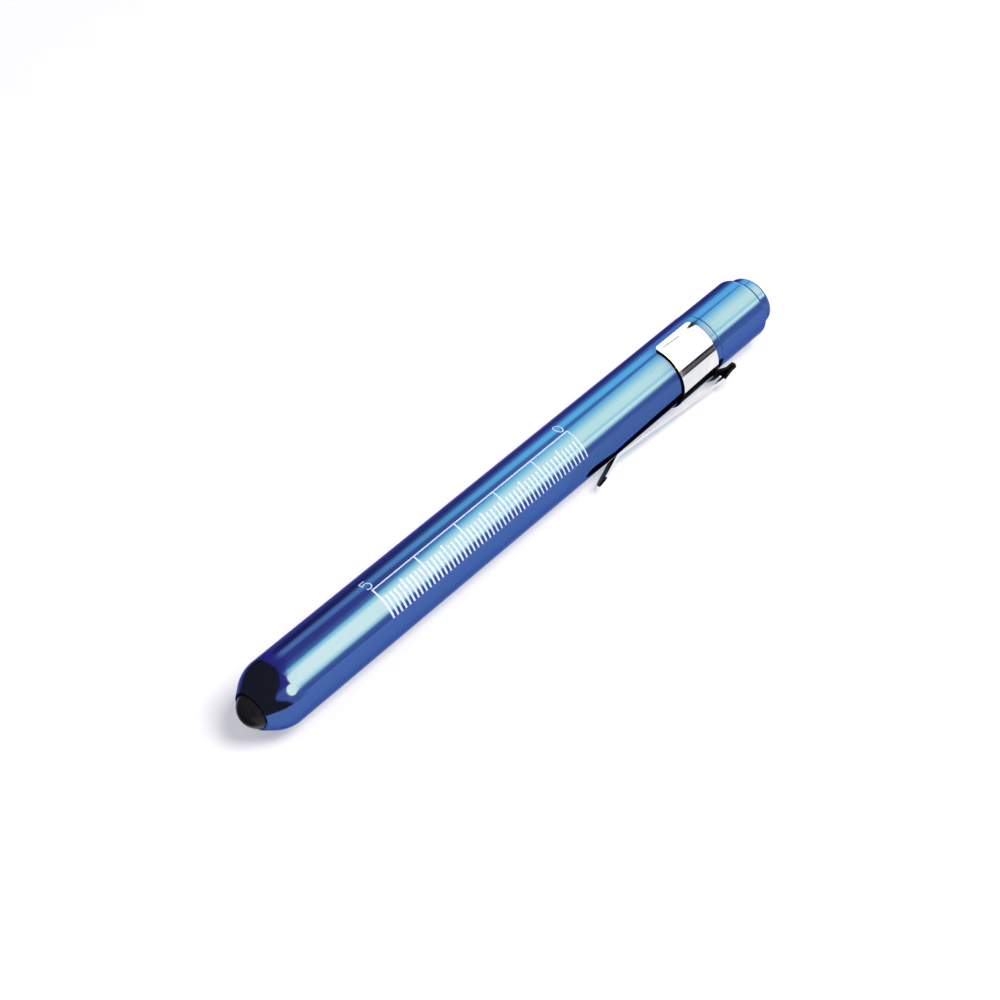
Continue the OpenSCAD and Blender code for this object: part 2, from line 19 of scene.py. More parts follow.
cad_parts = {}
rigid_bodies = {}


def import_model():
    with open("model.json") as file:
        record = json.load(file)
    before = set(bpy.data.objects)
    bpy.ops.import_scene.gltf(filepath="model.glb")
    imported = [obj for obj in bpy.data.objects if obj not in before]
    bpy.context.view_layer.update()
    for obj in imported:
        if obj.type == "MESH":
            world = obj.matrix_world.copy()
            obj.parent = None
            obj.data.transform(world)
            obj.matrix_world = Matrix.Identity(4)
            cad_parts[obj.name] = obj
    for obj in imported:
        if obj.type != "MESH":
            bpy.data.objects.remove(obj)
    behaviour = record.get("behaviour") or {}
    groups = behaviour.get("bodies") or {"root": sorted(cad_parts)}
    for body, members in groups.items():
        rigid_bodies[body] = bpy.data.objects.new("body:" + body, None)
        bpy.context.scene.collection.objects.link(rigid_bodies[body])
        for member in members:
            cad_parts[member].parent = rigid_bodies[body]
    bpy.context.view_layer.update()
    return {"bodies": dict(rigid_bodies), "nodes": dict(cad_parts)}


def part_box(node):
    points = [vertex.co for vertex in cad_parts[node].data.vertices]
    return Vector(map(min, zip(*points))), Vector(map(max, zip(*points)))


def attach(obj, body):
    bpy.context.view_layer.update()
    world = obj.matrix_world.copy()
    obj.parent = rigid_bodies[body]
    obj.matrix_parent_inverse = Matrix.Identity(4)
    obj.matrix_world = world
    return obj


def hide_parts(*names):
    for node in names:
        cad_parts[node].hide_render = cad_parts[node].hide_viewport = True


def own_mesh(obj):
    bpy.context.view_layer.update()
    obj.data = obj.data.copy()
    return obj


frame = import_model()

MM = 0.001
log = logging.getLogger("penlight")
Point = tuple[float, float]
Triple = tuple[float, float, float]
Socket = bpy.types.NodeSocket
Sockets = bpy.types.bpy_prop_collection


class Slot(Enum):
    """Material slots of the record, one named with each new piece."""

    ANODISED = "blue_anodised"
    LENS = "lens"
    SPRING = "spring_steel"
    CLIP = "clip_steel"


class Body(Enum):
    """Bodies of the record that new pieces ride on."""

    BARREL = "barrel"
    TAIL_CAP = "tail_cap"
    BUTTON = "button"
    CLIP_ARM = "clip_arm"


@dataclass(frozen=True)
class PenAxis:
    """The light's long axis in the row frame.

    Attributes:
        tip_x: where the lens tip lies, in metres.
        y: sideways place of the axis, in metres.
        z: height of the axis, in metres.
    """

    tip_x: float
    y: float
    z: float

    @classmethod
    def from_frame(cls) -> "PenAxis":
        """Reads the axis from the lens and the tail cap of the frame."""
        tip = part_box("lens")[0]
        low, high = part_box("tail_cap")
        return cls(tip.x, (low.y + high.y) / 2, (low.z + high.z) / 2)

    def at(self, station: float, radius: float = 0.0, turn: float = 0.0, aside: float = 0.0) -> Vector:
        """Gives a point in the row frame.

        Args:
            station: distance from the lens tip.
            radius: distance from the axis, along the turned direction.
            turn: angle from straight up towards the near side.
            aside: distance across the turned direction, towards a greater turn.

        Returns:
            The point in metres.
        """
        angle = math.radians(turn)
        up, near = math.cos(angle), math.sin(angle)
        return Vector((
            self.tip_x + station * MM,
            self.y - (radius * near + aside * up) * MM,
            self.z + (radius * up - aside * near) * MM,
        ))


# ---- meshes

def between(low: Sequence[float], high: Sequence[float], share: float) -> tuple[float, ...]:
    """Mixes two rows of numbers."""
    return tuple(a + (b - a) * share for a, b in zip(low, high))


def read(table: Sequence[Point], place: float) -> float:
    """Reads a table of places and values, which goes on straight past its ends."""
    k = next((i for i, (end, _) in enumerate(table[1:-1]) if place <= end), len(table) - 2)
    (low, first), (high, last) = table[k:k + 2]
    return first + (last - first) * (place - low) / (high - low)


def placed(name: str, data: bpy.types.ID) -> bpy.types.Object:
    """Puts a mesh, lamp or camera into the scene at the origin."""
    thing = bpy.data.objects.new(name, data)
    bpy.context.scene.collection.objects.link(thing)
    return thing


def rounding(before: Point, here: Point, after: Point, radius: float, steps: int) -> list[Point]:
    """Rounds one bend of a path.

    Args:
        before: the point in front of the bend.
        here: where the two stretches meet.
        after: the point behind it.
        radius: radius of the rounding.
        steps: number of stretches in it.

    Returns:
        The rounding's points, with a point of the straight stretch before and after them.
    """
    spot = Vector(here)
    back, on = (Vector(before) - spot).normalized(), (Vector(after) - spot).normalized()
    half = back.angle(on) / 2
    reach = radius / math.tan(half)
    centre = spot + (back + on).normalized() * radius / math.sin(half)
    start, end = spot + back * reach - centre, spot + on * reach - centre
    sweep = math.atan2(start.x * end.y - start.y * end.x, start.dot(end))
    arms = [Matrix.Rotation(sweep * k / steps, 2) @ start for k in range(steps + 1)]
    return [tuple(spot + back * reach * 1.5), *((centre.x + arm.x, centre.y + arm.y) for arm in arms),
            tuple(spot + on * reach * 1.5)]


def eased(corners: Sequence[Triple], steps: int = 5) -> list[Triple]:
    """Rounds the corners of a closed profile.

    Args:
        corners: station, radius and ease of each corner in order; without an ease it stays sharp.
        steps: number of stretches in each rounding.

    Returns:
        Station, radius and edge mark of each point; the mark is 1 on a rounding.
    """
    points: list[Triple] = []
    for i, (station, radius, ease) in enumerate(corners):
        if ease <= 0:
            points.append((station, radius, 0.0))
            continue
        before, after = corners[i - 1], corners[(i + 1) % len(corners)]
        lead, *arc, tail = rounding(before[:2], (station, radius), after[:2], ease, steps)
        points += [(*lead, 0.0), *((*spot, 1.0) for spot in arc), (*tail, 0.0)]
    return points


def smooth(mesh: bpy.types.Mesh, sharp: float) -> None:
    """Shades a mesh smooth, but keeps the edges from an angle in degrees on sharp."""
    mesh.shade_smooth()
    mesh.set_sharp_from_angle(angle=math.radians(sharp))


def finished(name: str, work: bmesh.types.BMesh, sharp: float = 28.0) -> bpy.types.Object:
    """Turns a bmesh into a smooth shaded object at the origin.

    Args:
        name: name of the new object.
        work: the mesh to use, which is freed.
        sharp: angle in degrees from which an edge stays sharp.

    Returns:
        The new object.
    """
    bmesh.ops.recalc_face_normals(work, faces=work.faces)
    mesh = bpy.data.meshes.new(name)
    work.to_mesh(mesh)
    work.free()
    smooth(mesh, sharp)
    return placed(name, mesh)


def lathe(name: str, axis: PenAxis, profile: Sequence[Triple], segments: int) -> bpy.types.Object:
    """Turns a closed profile round the axis.

    Args:
        name: name of the new object.
        axis: the light's axis.
        profile: station, radius and edge mark of each point in order; a zero radius makes a pole.
        segments: number of faces round the axis.

    Returns:
        The turned object, with its edge marks in the attribute "edge".
    """
    work = bmesh.new()
    mark = work.verts.layers.float.new("edge")
    rings: list[list[bmesh.types.BMVert]] = []
    for station, radius, edge in profile:
        count = segments if radius > 0 else 1
        ring = [work.verts.new(axis.at(station, radius, 360 * k / segments)) for k in range(count)]
        for vert in ring:
            vert[mark] = edge
        rings.append(ring)
    for ring, after in zip(rings, rings[1:] + rings[:1]):
        if len(ring) == 1 and len(after) == 1:
            continue
        for k in range(segments):
            j = (k + 1) % segments
            loop = [ring[k % len(ring)], ring[j % len(ring)], after[j % len(after)], after[k % len(after)]]
            work.faces.new(list(dict.fromkeys(loop)))
    return finished(name, work)


def shell(work: bmesh.types.BMesh, inner: list[list[Vector]], outer: list[list[Vector]],
          dull: Triple = (0.0, 0.0, 0.0)) -> None:
    """Adds a closed slab between two grids of points of the same size.

    Args:
        work: the mesh that takes the slab.
        inner: rows of points on one face.
        outer: the same rows on the other face.
        dull: how much near-black painted shade the inner face, the outer face and the rim get, kept in an attribute of
            the same name.
    """
    mark = work.faces.layers.float.get("dull") or work.faces.layers.float.new("dull")
    low, high = ([[work.verts.new(p) for p in row] for row in rows] for rows in (inner, outer))
    rows, cols = len(low) - 1, len(low[0]) - 1
    for i in range(rows):
        for j in range(cols):
            work.faces.new((low[i][j], low[i][j + 1], low[i + 1][j + 1], low[i + 1][j]))[mark] = dull[0]
            work.faces.new((high[i][j], high[i + 1][j], high[i + 1][j + 1], high[i][j + 1]))[mark] = dull[1]
        for j in (0, cols):
            work.faces.new((low[i][j], low[i + 1][j], high[i + 1][j], high[i][j]))[mark] = dull[2]
    for j in range(cols):
        for i in (0, rows):
            work.faces.new((low[i][j], low[i][j + 1], high[i][j + 1], high[i][j]))[mark] = dull[2]


def ease_edges(piece: bpy.types.Object, width: float, steps: int = 2, sharp: float = 50.0) -> None:
    """Rounds a sheet's edges with a live bevel.

    Args:
        piece: the sheet.
        width: width of the rounding.
        steps: number of faces across it.
        sharp: angle in degrees from which an edge is rounded.
    """
    bevel = piece.modifiers.new("eased_edges", "BEVEL")
    bevel.width = width * MM
    bevel.segments = steps
    bevel.limit_method = "ANGLE"
    bevel.angle_limit = math.radians(sharp)
    bevel.harden_normals = True


# ---- node sheets

class Sheet:
    """A node tree that is being filled in."""

    def __init__(self, tree: bpy.types.NodeTree) -> None:
        """Keeps the tree."""
        self.tree = tree

    @classmethod
    def blank(cls, owner: bpy.types.ID) -> "Sheet":
        """Gives the emptied node tree of a material or world."""
        owner.use_nodes = True
        owner.node_tree.nodes.clear()
        return cls(owner.node_tree)

    def add(self, kind: str, values: dict | None = None, **settings: object) -> bpy.types.Node:
        """Adds a node.

        Args:
            kind: the node's type name.
            values: input name or number to a constant or to the socket that feeds it.
            settings: attributes of the node.

        Returns:
            The new node.
        """
        node = self.tree.nodes.new(kind)
        for key, value in settings.items():
            setattr(node, key, value)
        for key, value in (values or {}).items():
            if isinstance(value, Socket):
                self.tree.links.new(value, node.inputs[key])
            else:
                node.inputs[key].default_value = value
        return node

    def out(self, kind: str, values: dict | None = None, **settings: object) -> Socket:
        """Adds a node as add does and returns its first output."""
        return self.add(kind, values, **settings).outputs[0]

    def math(self, operation: str, *values: object) -> Socket:
        """Adds a math node with the given inputs and returns its output."""
        return self.out("ShaderNodeMath", dict(enumerate(values)), operation=operation)

    def plus(self, first: object, second: object) -> Socket:
        """Adds two numbers."""
        return self.math("ADD", first, second)

    def minus(self, first: object, second: object) -> Socket:
        """Takes the second number from the first."""
        return self.math("SUBTRACT", first, second)

    def times(self, first: object, second: object) -> Socket:
        """Multiplies two numbers."""
        return self.math("MULTIPLY", first, second)

    def over(self, first: object, second: object) -> Socket:
        """Divides the first number by the second."""
        return self.math("DIVIDE", first, second)

    def xyz(self, *parts: object) -> Socket:
        """Joins up to three numbers into a vector."""
        return self.out("ShaderNodeCombineXYZ", dict(enumerate(parts)))

    def parts(self, vector: Socket) -> Sockets:
        """Splits a vector into its three numbers."""
        return self.add("ShaderNodeSeparateXYZ", {0: vector}).outputs

    def noise(self, size: str, **values: object) -> Socket:
        """Adds a noise of 1D, 3D or 4D and returns its height."""
        return self.out("ShaderNodeTexNoise", values, noise_dimensions=size)

    def spread(self, value: object, low: float, high: float, to_low: float, to_high: float) -> Socket:
        """Maps a value from one range to another, clamped, and returns the result."""
        return self.out("ShaderNodeMapRange", {
            "Value": value, "From Min": low, "From Max": high, "To Min": to_low, "To Max": to_high})

    def blend(self, amount: object, first: object, second: object) -> Socket:
        """Mixes two colours and returns the result."""
        first, second = (side if isinstance(side, Socket) else (*side, 1.0) for side in (first, second))
        return self.add("ShaderNodeMix", {0: amount, 6: first, 7: second}, data_type="RGBA").outputs[2]


def new_group(name: str, inputs: dict[str, object], outputs: Sequence[str],
              geometry: bool = False) -> tuple[Sheet, Sockets]:
    """Starts a node group.

    Args:
        name: name of the group.
        inputs: input name to its usual value, whose type gives the socket's.
        outputs: names of the outputs, which are numbers in a shader group.
        geometry: whether it makes geometry and not a shader's value.

    Returns:
        The sheet to fill in and the sockets that give the group's inputs.
    """
    tree = bpy.data.node_groups.new(name, "GeometryNodeTree" if geometry else "ShaderNodeTree")
    for label, value in inputs.items():
        kind = "NodeSocket" + type(value).__name__.title()
        socket = tree.interface.new_socket(name=label, in_out="INPUT", socket_type=kind)
        if not isinstance(value, bpy.types.Material):
            socket.default_value = value
    for label in outputs:
        kind = "NodeSocketGeometry" if geometry else "NodeSocketFloat"
        tree.interface.new_socket(name=label, in_out="OUTPUT", socket_type=kind)
    sheet = Sheet(tree)
    return sheet, sheet.add("NodeGroupInput").outputs


def grown(name: str, sizes: dict[str, object], finish: bpy.types.Material,
          draw: Callable[[Sheet, Sockets], Socket], sharp: float = 40.0) -> bpy.types.Object:
    """Makes a piece with a Geometry Nodes tree and keeps its result as a plain mesh.

    Args:
        name: name of the new object.
        sizes: the tree's inputs by name.
        finish: the piece's material.
        draw: lays out the tree's nodes on a sheet, from its inputs, and gives the shape's socket.
        sharp: angle in degrees from which an edge stays sharp.

    Returns:
        An object at the origin without modifiers.
    """
    values = {**sizes, "Finish": finish}
    sheet, get = new_group(name, values, ("Geometry",), geometry=True)
    whole = sheet.out("GeometryNodeRealizeInstances", {"Geometry": draw(sheet, get)})
    dressed = sheet.out("GeometryNodeSetMaterial", {"Geometry": whole, "Material": get["Finish"]})
    sheet.add("NodeGroupOutput", {"Geometry": dressed})
    piece = placed(name, bpy.data.meshes.new(name + "_seed"))
    maker = piece.modifiers.new("maker", "NODES")
    maker.node_group = sheet.tree
    for item in sheet.tree.interface.items_tree:
        if item.item_type == "SOCKET" and item.in_out == "INPUT":
            maker[item.identifier] = values[item.name]
    bpy.context.view_layer.update()
    evaluated = piece.evaluated_get(bpy.context.evaluated_depsgraph_get())
    mesh = bpy.data.meshes.new_from_object(evaluated)
    piece.modifiers.clear()
    piece.data = mesh
    mesh.name = name
    smooth(mesh, sharp)
    return piece


def swept(sheet: Sheet, coil: Socket, sides: int, radius: Socket, start: Socket) -> Socket:
    """Sweeps a round section along a coil and lays the coil along the light.

    Args:
        sheet: the sheet to draw on.
        coil: the coil's curve, which stands upright.
        sides: number of faces round the section.
        radius: the section's radius.
        start: where the coil begins.

    Returns:
        The swept mesh's socket.
    """
    section = sheet.out("GeometryNodeCurvePrimitiveCircle", {"Resolution": sides, "Radius": radius})
    solid = sheet.out("GeometryNodeCurveToMesh", {"Curve": coil, "Profile Curve": section, "Fill Caps": True})
    return sheet.out("GeometryNodeTransform", {
        "Geometry": solid, "Rotation": (0.0, math.pi / 2, 0.0), "Translation": start})


@dataclass
class Effects:
    """Shader node groups that several finishes share."""

    turned: bpy.types.NodeTree = field(init=False)
    handled: bpy.types.NodeTree = field(init=False)
    grained: bpy.types.NodeTree = field(init=False)
    drawn: bpy.types.NodeTree = field(init=False)

    def __post_init__(self) -> None:
        """Builds every group."""
        self.turned = self._turned_lines()
        self.handled = self._handling()
        self.grained = self._grain()
        self.drawn = self._drawn_lines()

    def _turned_lines(self) -> bpy.types.NodeTree:
        """Fine rings left by turning: a value that changes along X only."""
        sheet, get = new_group("turned_lines", {"Vector": Vector(), "Pitch": 0.05}, ("Line",))
        along = sheet.over(sheet.parts(get["Vector"])["X"], sheet.times(get["Pitch"], MM))
        sheet.add("NodeGroupOutput", {"Line": sheet.noise("1D", W=along, Scale=1.0, Detail=2.0, Roughness=0.6)})
        return sheet.tree

    def _handling(self) -> bpy.types.NodeTree:
        """Faint smears and hairline scratches from handling."""
        sheet, get = new_group("handling_marks", {"Vector": Vector(), "Seed": 0.0}, ("Smear", "Scratch"))
        smear = sheet.noise("4D", Vector=get["Vector"], W=get["Seed"], Scale=160.0, Detail=4.0, Roughness=0.62,
                            Distortion=0.8)
        stretch = sheet.out("ShaderNodeMapping", {
            "Vector": get["Vector"], "Rotation": (0.3, 0.2, 0.5), "Scale": (140.0, 2600.0, 900.0)})
        hair = sheet.noise("4D", Vector=stretch, W=get["Seed"], Scale=1.0, Detail=1.0)
        sheet.add("NodeGroupOutput", {"Smear": sheet.spread(smear, 0.35, 0.7, 0.0, 1.0),
                                      "Scratch": sheet.spread(hair, 0.71, 0.76, 0.0, 1.0)})
        return sheet.tree

    def _grain(self) -> bpy.types.NodeTree:
        """Fine grain of a moulded surface, with a slower mottle."""
        sheet, get = new_group("moulded_grain", {"Vector": Vector(), "Size": 0.12}, ("Height", "Mottle"))
        cells = sheet.out("ShaderNodeTexVoronoi", {
            "Vector": get["Vector"], "Scale": sheet.over(1.0 / MM, get["Size"]), "Randomness": 1.0},
            feature="SMOOTH_F1")
        sheet.add("NodeGroupOutput", {
            "Height": cells, "Mottle": sheet.noise("3D", Vector=get["Vector"], Scale=420.0, Detail=3.0)})
        return sheet.tree

    def _drawn_lines(self) -> bpy.types.NodeTree:
        """Fine lines along X, as rolled sheet and drawn wire have."""
        sheet, get = new_group("drawn_lines", {"Vector": Vector(), "Width": 0.05}, ("Line",))
        parts = sheet.parts(get["Vector"])
        scale = sheet.over(1.0 / MM, get["Width"])
        across = sheet.xyz(sheet.times(parts["X"], 260.0), sheet.times(parts["Y"], scale),
                           sheet.times(parts["Z"], scale))
        sheet.add("NodeGroupOutput", {"Line": sheet.noise("3D", Vector=across, Scale=1.0, Detail=2.0)})
        return sheet.tree


# ---- finishes

class Coat(Sheet):
    """The node sheet of a finish, with its Principled shader and the piece's own coordinates."""

    def __init__(self, name: str, **constants: object) -> None:
        """Starts the material.

        Args:
            name: name of the material.
            constants: shader inputs that are the same all over, with _ for each space.
        """
        self.material = bpy.data.materials.new(name)
        super().__init__(Sheet.blank(self.material).tree)
        self.shader = self.add("ShaderNodeBsdfPrincipled", {k.replace("_", " "): v for k, v in constants.items()})
        self.add("ShaderNodeOutputMaterial", {"Surface": self.shader.outputs[0]})
        self.place = self.add("ShaderNodeTexCoord").outputs["Object"]

    def effect(self, group: bpy.types.NodeTree, **values: float) -> Sockets:
        """Places a shared effect on the piece's coordinates and returns its outputs."""
        return self.add("ShaderNodeGroup", {"Vector": self.place, **values}, node_tree=group).outputs

    def marked(self, name: str) -> Socket:
        """Reads a mark that the mesh keeps in an attribute."""
        return self.add("ShaderNodeAttribute", attribute_name=name).outputs["Fac"]

    def handled(self, marks: Sockets, clean: float, smear: float, scratch: float) -> Socket:
        """Gives the roughness of a handled surface.

        Args:
            marks: the handling marks.
            clean: roughness of the clean surface.
            smear: what a smear adds.
            scratch: what a scratch adds.

        Returns:
            The roughness.
        """
        rough = self.plus(self.times(marks["Smear"], smear), clean)
        return self.plus(rough, self.times(marks["Scratch"], scratch))

    def feed(self, colour: Socket, roughness: Socket | None = None) -> None:
        """Links the shader's colour and roughness."""
        self.tree.links.new(colour, self.shader.inputs["Base Color"])
        if roughness:
            self.tree.links.new(roughness, self.shader.inputs["Roughness"])

    def raise_by(self, height: Socket, strength: float, depth: float) -> None:
        """Bumps the surface by a height, to a depth in millimetres."""
        bump = self.out("ShaderNodeBump", {"Height": height, "Strength": strength, "Distance": depth * MM})
        self.tree.links.new(bump, self.shader.inputs["Normal"])


@dataclass(frozen=True)
class Anodised:
    """Bright dyed aluminium: turned rings under a clear hard film, rubbed pale along its edges."""

    effects: Effects
    name: str = "blue_anodised_finish"
    colour: Triple = (0.057, 0.122, 0.345)
    deep: Triple = (0.050, 0.110, 0.325)
    worn: Triple = (0.10, 0.19, 0.46)
    sheen: tuple[float, ...] = (0.46, 0.47, 0.68, 1.0)
    roughness: float = 0.095
    ring_pitch: float = 0.09
    ring_depth: float = 0.004
    wear: float = 0.4
    seed: float = 3.0

    def build(self) -> bpy.types.Material:
        """Makes the material."""
        coat = Coat(self.name, Metallic=1.0, Specular_Tint=self.sheen)
        rings = coat.effect(self.effects.turned, Pitch=self.ring_pitch)["Line"]
        marks = coat.effect(self.effects.handled, Seed=self.seed)
        dyed = coat.blend(coat.spread(rings, 0.3, 0.7, 0.0, 1.0), self.colour, self.deep)
        rubbed = coat.times(coat.marked("edge"), coat.spread(marks["Smear"], 0.2, 0.9, 0.0, self.wear))
        coat.feed(coat.blend(rubbed, dyed, self.worn), coat.handled(marks, self.roughness, 0.035, 0.10))
        coat.raise_by(rings, 0.06, self.ring_depth)
        return coat.material


@dataclass(frozen=True)
class PrintInk:
    """White screen printed ink, a little thin and uneven."""

    effects: Effects
    name: str = "ruler_ink"
    colour: Triple = (0.56, 0.66, 0.81)
    thin: Triple = (0.44, 0.55, 0.75)
    grain: float = 0.05
    depth: float = 0.004

    def build(self) -> bpy.types.Material:
        """Makes the material."""
        coat = Coat(self.name, Roughness=0.45, IOR=1.45, Specular_IOR_Level=0.25)
        grain = coat.effect(self.effects.grained, Size=self.grain)
        coat.feed(coat.blend(coat.spread(grain["Mottle"], 0.42, 0.68, 0.0, 0.5), self.colour, self.thin))
        coat.raise_by(grain["Height"], 0.2, self.depth)
        return coat.material


@dataclass(frozen=True)
class SmokedLens:
    """Polished smoky acrylic, dark enough to hide the lamp, with dust in its surface."""

    effects: Effects
    name: str = "smoked_acrylic"
    colour: Triple = (0.006, 0.006, 0.007)
    dusty: Triple = (0.016, 0.017, 0.018)
    seed: float = 8.0

    def build(self) -> bpy.types.Material:
        """Makes the material."""
        coat = Coat(self.name, IOR=1.49, Specular_IOR_Level=0.14, Coat_Weight=0.03, Coat_Roughness=0.08)
        smear = coat.effect(self.effects.handled, Seed=self.seed)["Smear"]
        coat.feed(coat.blend(smear, self.colour, self.dusty), coat.spread(smear, 0.0, 1.0, 0.22, 0.34))
        return coat.material


@dataclass(frozen=True)
class BrightMetal:
    """Plated or drawn metal with fine lines and faint handling marks, and a near-black painted shade where the mesh
    marks it.
    """

    effects: Effects
    name: str
    colour: Triple
    # Colour that the handling smears give.
    dull: Triple
    roughness: float
    line_width: float
    line_depth: float
    seed: float
    # The near-black painted shade, and its roughness, for the faces that the mesh marks as shaded.
    bare: Triple = (0.007, 0.009, 0.014)
    bare_roughness: float = 0.62

    def build(self) -> bpy.types.Material:
        """Makes the material."""
        coat = Coat(self.name, Metallic=1.0)
        lines = coat.effect(self.effects.drawn, Width=self.line_width)["Line"]
        marks = coat.effect(self.effects.handled, Seed=self.seed)
        # Painted shade: where the mesh marks it, the metal turns near-black and rough.
        bare = coat.marked("dull")
        plated = coat.blend(marks["Smear"], self.colour, self.dull)
        rough = coat.handled(marks, self.roughness, 0.05, 0.12)
        coat.feed(coat.blend(bare, plated, self.bare),
                  coat.math("MAXIMUM", rough, coat.times(bare, self.bare_roughness)))
        coat.raise_by(lines, self.line_depth, 0.002)
        return coat.material


@dataclass(frozen=True)
class Moulded:
    """Moulded plastic or rubber with a fine grain and a slow change of tone."""

    effects: Effects
    name: str
    colour: Triple
    shade: Triple
    roughness: float
    grain: float
    depth: float
    change: float = 0.06

    def build(self) -> bpy.types.Material:
        """Makes the material."""
        coat = Coat(self.name, IOR=1.5)
        grain = coat.effect(self.effects.grained, Size=self.grain)
        mottle = grain["Mottle"]
        coat.feed(coat.blend(coat.spread(mottle, 0.35, 0.7, 0.0, 1.0), self.colour, self.shade),
                  coat.spread(mottle, 0.3, 0.7, self.roughness - self.change, self.roughness + self.change))
        coat.raise_by(grain["Height"], self.depth, 0.01)
        return coat.material


@dataclass(frozen=True)
class ClearEpoxy:
    """Clear moulded lamp body with a faint haze."""

    effects: Effects
    name: str = "clear_epoxy"
    colour: Triple = (0.93, 0.94, 0.95)
    hazy: Triple = (0.86, 0.88, 0.88)

    def build(self) -> bpy.types.Material:
        """Makes the material."""
        coat = Coat(self.name, IOR=1.53, Transmission_Weight=0.9)
        smear = coat.effect(self.effects.handled)["Smear"]
        coat.feed(coat.blend(smear, self.colour, self.hazy), coat.spread(smear, 0.0, 1.0, 0.05, 0.14))
        return coat.material


@dataclass(frozen=True)
class CellFilm:
    """Shrunk film round a cell: green, with a pale band at the raised contact's end.

    Attributes:
        effects: the shared effects.
        name: name of the material.
        front: where the film starts, in metres.
        band: where the pale band starts and ends, from there.
        colour: the film's green.
        shade: its darker green.
        pale: the band's colour.
    """

    effects: Effects
    name: str
    front: float
    band: Point = (2.0, 6.5)
    colour: Triple = (0.020, 0.150, 0.070)
    shade: Triple = (0.014, 0.115, 0.052)
    pale: Triple = (0.62, 0.60, 0.50)

    def build(self) -> bpy.types.Material:
        """Makes the material."""
        coat = Coat(self.name, IOR=1.5, Coat_Weight=0.4, Coat_Roughness=0.12)
        along = coat.parts(coat.place)["X"]
        start, end = (self.front + edge * MM for edge in self.band)
        inside = coat.times(coat.math("GREATER_THAN", along, start), coat.math("LESS_THAN", along, end))
        mottle = coat.effect(self.effects.grained)["Mottle"]
        tone = coat.spread(mottle, 0.35, 0.7, 0.0, 1.0)
        green = coat.blend(tone, self.colour, self.shade)
        coat.feed(coat.blend(inside, green, self.pale), coat.spread(tone, 0.0, 1.0, 0.24, 0.34))
        coat.raise_by(mottle, 0.2, 0.02)
        return coat.material


# ---- the light's sub-assemblies

def add_piece(piece: bpy.types.Object, body: Body, slot: Slot, finish: bpy.types.Material,
              *stands_for: str) -> None:
    """Dresses a finished piece and ties it to the frame.

    Args:
        piece: the piece, in place.
        body: the body it rides on.
        slot: the record's material slot; not used.
        finish: its material.
        stands_for: CAD nodes that it replaces.
    """
    piece.data.materials.clear()
    piece.data.materials.append(finish)
    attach(piece, body.value)
    if stands_for:
        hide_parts(*stands_for)
    log.info("%s rides on %s, %d faces", piece.name, body.value, len(piece.data.polygons))


@dataclass
class Barrel:
    """The anodised tube with its coned nose, made as one turned piece."""

    axis: PenAxis
    radius: float = 6.15
    rim_station: float = 2.1
    rim_radius: float = 3.63
    rim_turn: float = 0.18
    cone_end: float = 3.574
    nose_end: float = 7.786
    nose_arc: float = 7.0
    nose_slope: float = 37.0
    nose_steps: int = 28
    rear: float = 118.986
    lens_hole: float = 3.25
    flange_hole: float = 3.95
    flange_station: float = 3.45
    bore: float = 5.45
    bore_station: float = 7.186
    socket: float = 5.67
    socket_station: float = 109.936

    def _profile(self) -> list[Triple]:
        """Gives the closed profile, outside first."""
        nose = []
        for k in range(self.nose_steps + 1):
            angle = math.radians(self.nose_slope * (1 - k / self.nose_steps))
            nose.append((self.nose_end - self.nose_arc * math.sin(angle),
                         self.radius - self.nose_arc + self.nose_arc * math.cos(angle), 0.0))
        return eased([
            (self.rim_station, self.lens_hole, 0.05),
            (self.rim_station, self.rim_radius, 0.07),
            *nose,
            (self.nose_end + 1.0, self.radius, 0.0),
            (self.rear, self.radius, 0.12),
            (self.rear, self.socket, 0.08),
            (self.socket_station, self.socket, 0.0),
            (self.socket_station, self.bore, 0.0),
            (self.bore_station, self.bore, 0.0),
            (self.bore_station, self.flange_hole, 0.0),
            (self.flange_station, self.flange_hole, 0.0),
            (self.flange_station, self.lens_hole, 0.0),
        ])

    def outside(self, travel: float) -> Triple:
        """Follows the outside from the rim of the lens hole.

        Args:
            travel: length along the outside; below zero the slope steepens round the rim's edge.

        Returns:
            Station, radius and slope there.
        """
        slope = math.radians(self.nose_slope)
        cone = (self.cone_end - self.rim_station) / math.cos(slope)
        bend = self.nose_arc * slope
        if travel < 0:
            return self.rim_station, self.rim_radius, slope - self.rim_turn * travel
        if travel < cone:
            return self.rim_station + travel * math.cos(slope), self.rim_radius + travel * math.sin(slope), slope
        if travel < cone + bend:
            angle = slope - (travel - cone) / self.nose_arc
            return (self.nose_end - self.nose_arc * math.sin(angle),
                    self.radius - self.nose_arc * (1 - math.cos(angle)), angle)
        return self.nose_end + travel - cone - bend, self.radius, 0.0

    def build(self, finish: bpy.types.Material) -> None:
        """Makes and dresses the barrel."""
        piece = lathe("barrel_tube", self.axis, self._profile(), 192)
        add_piece(piece, Body.BARREL, Slot.ANODISED, finish, "barrel")


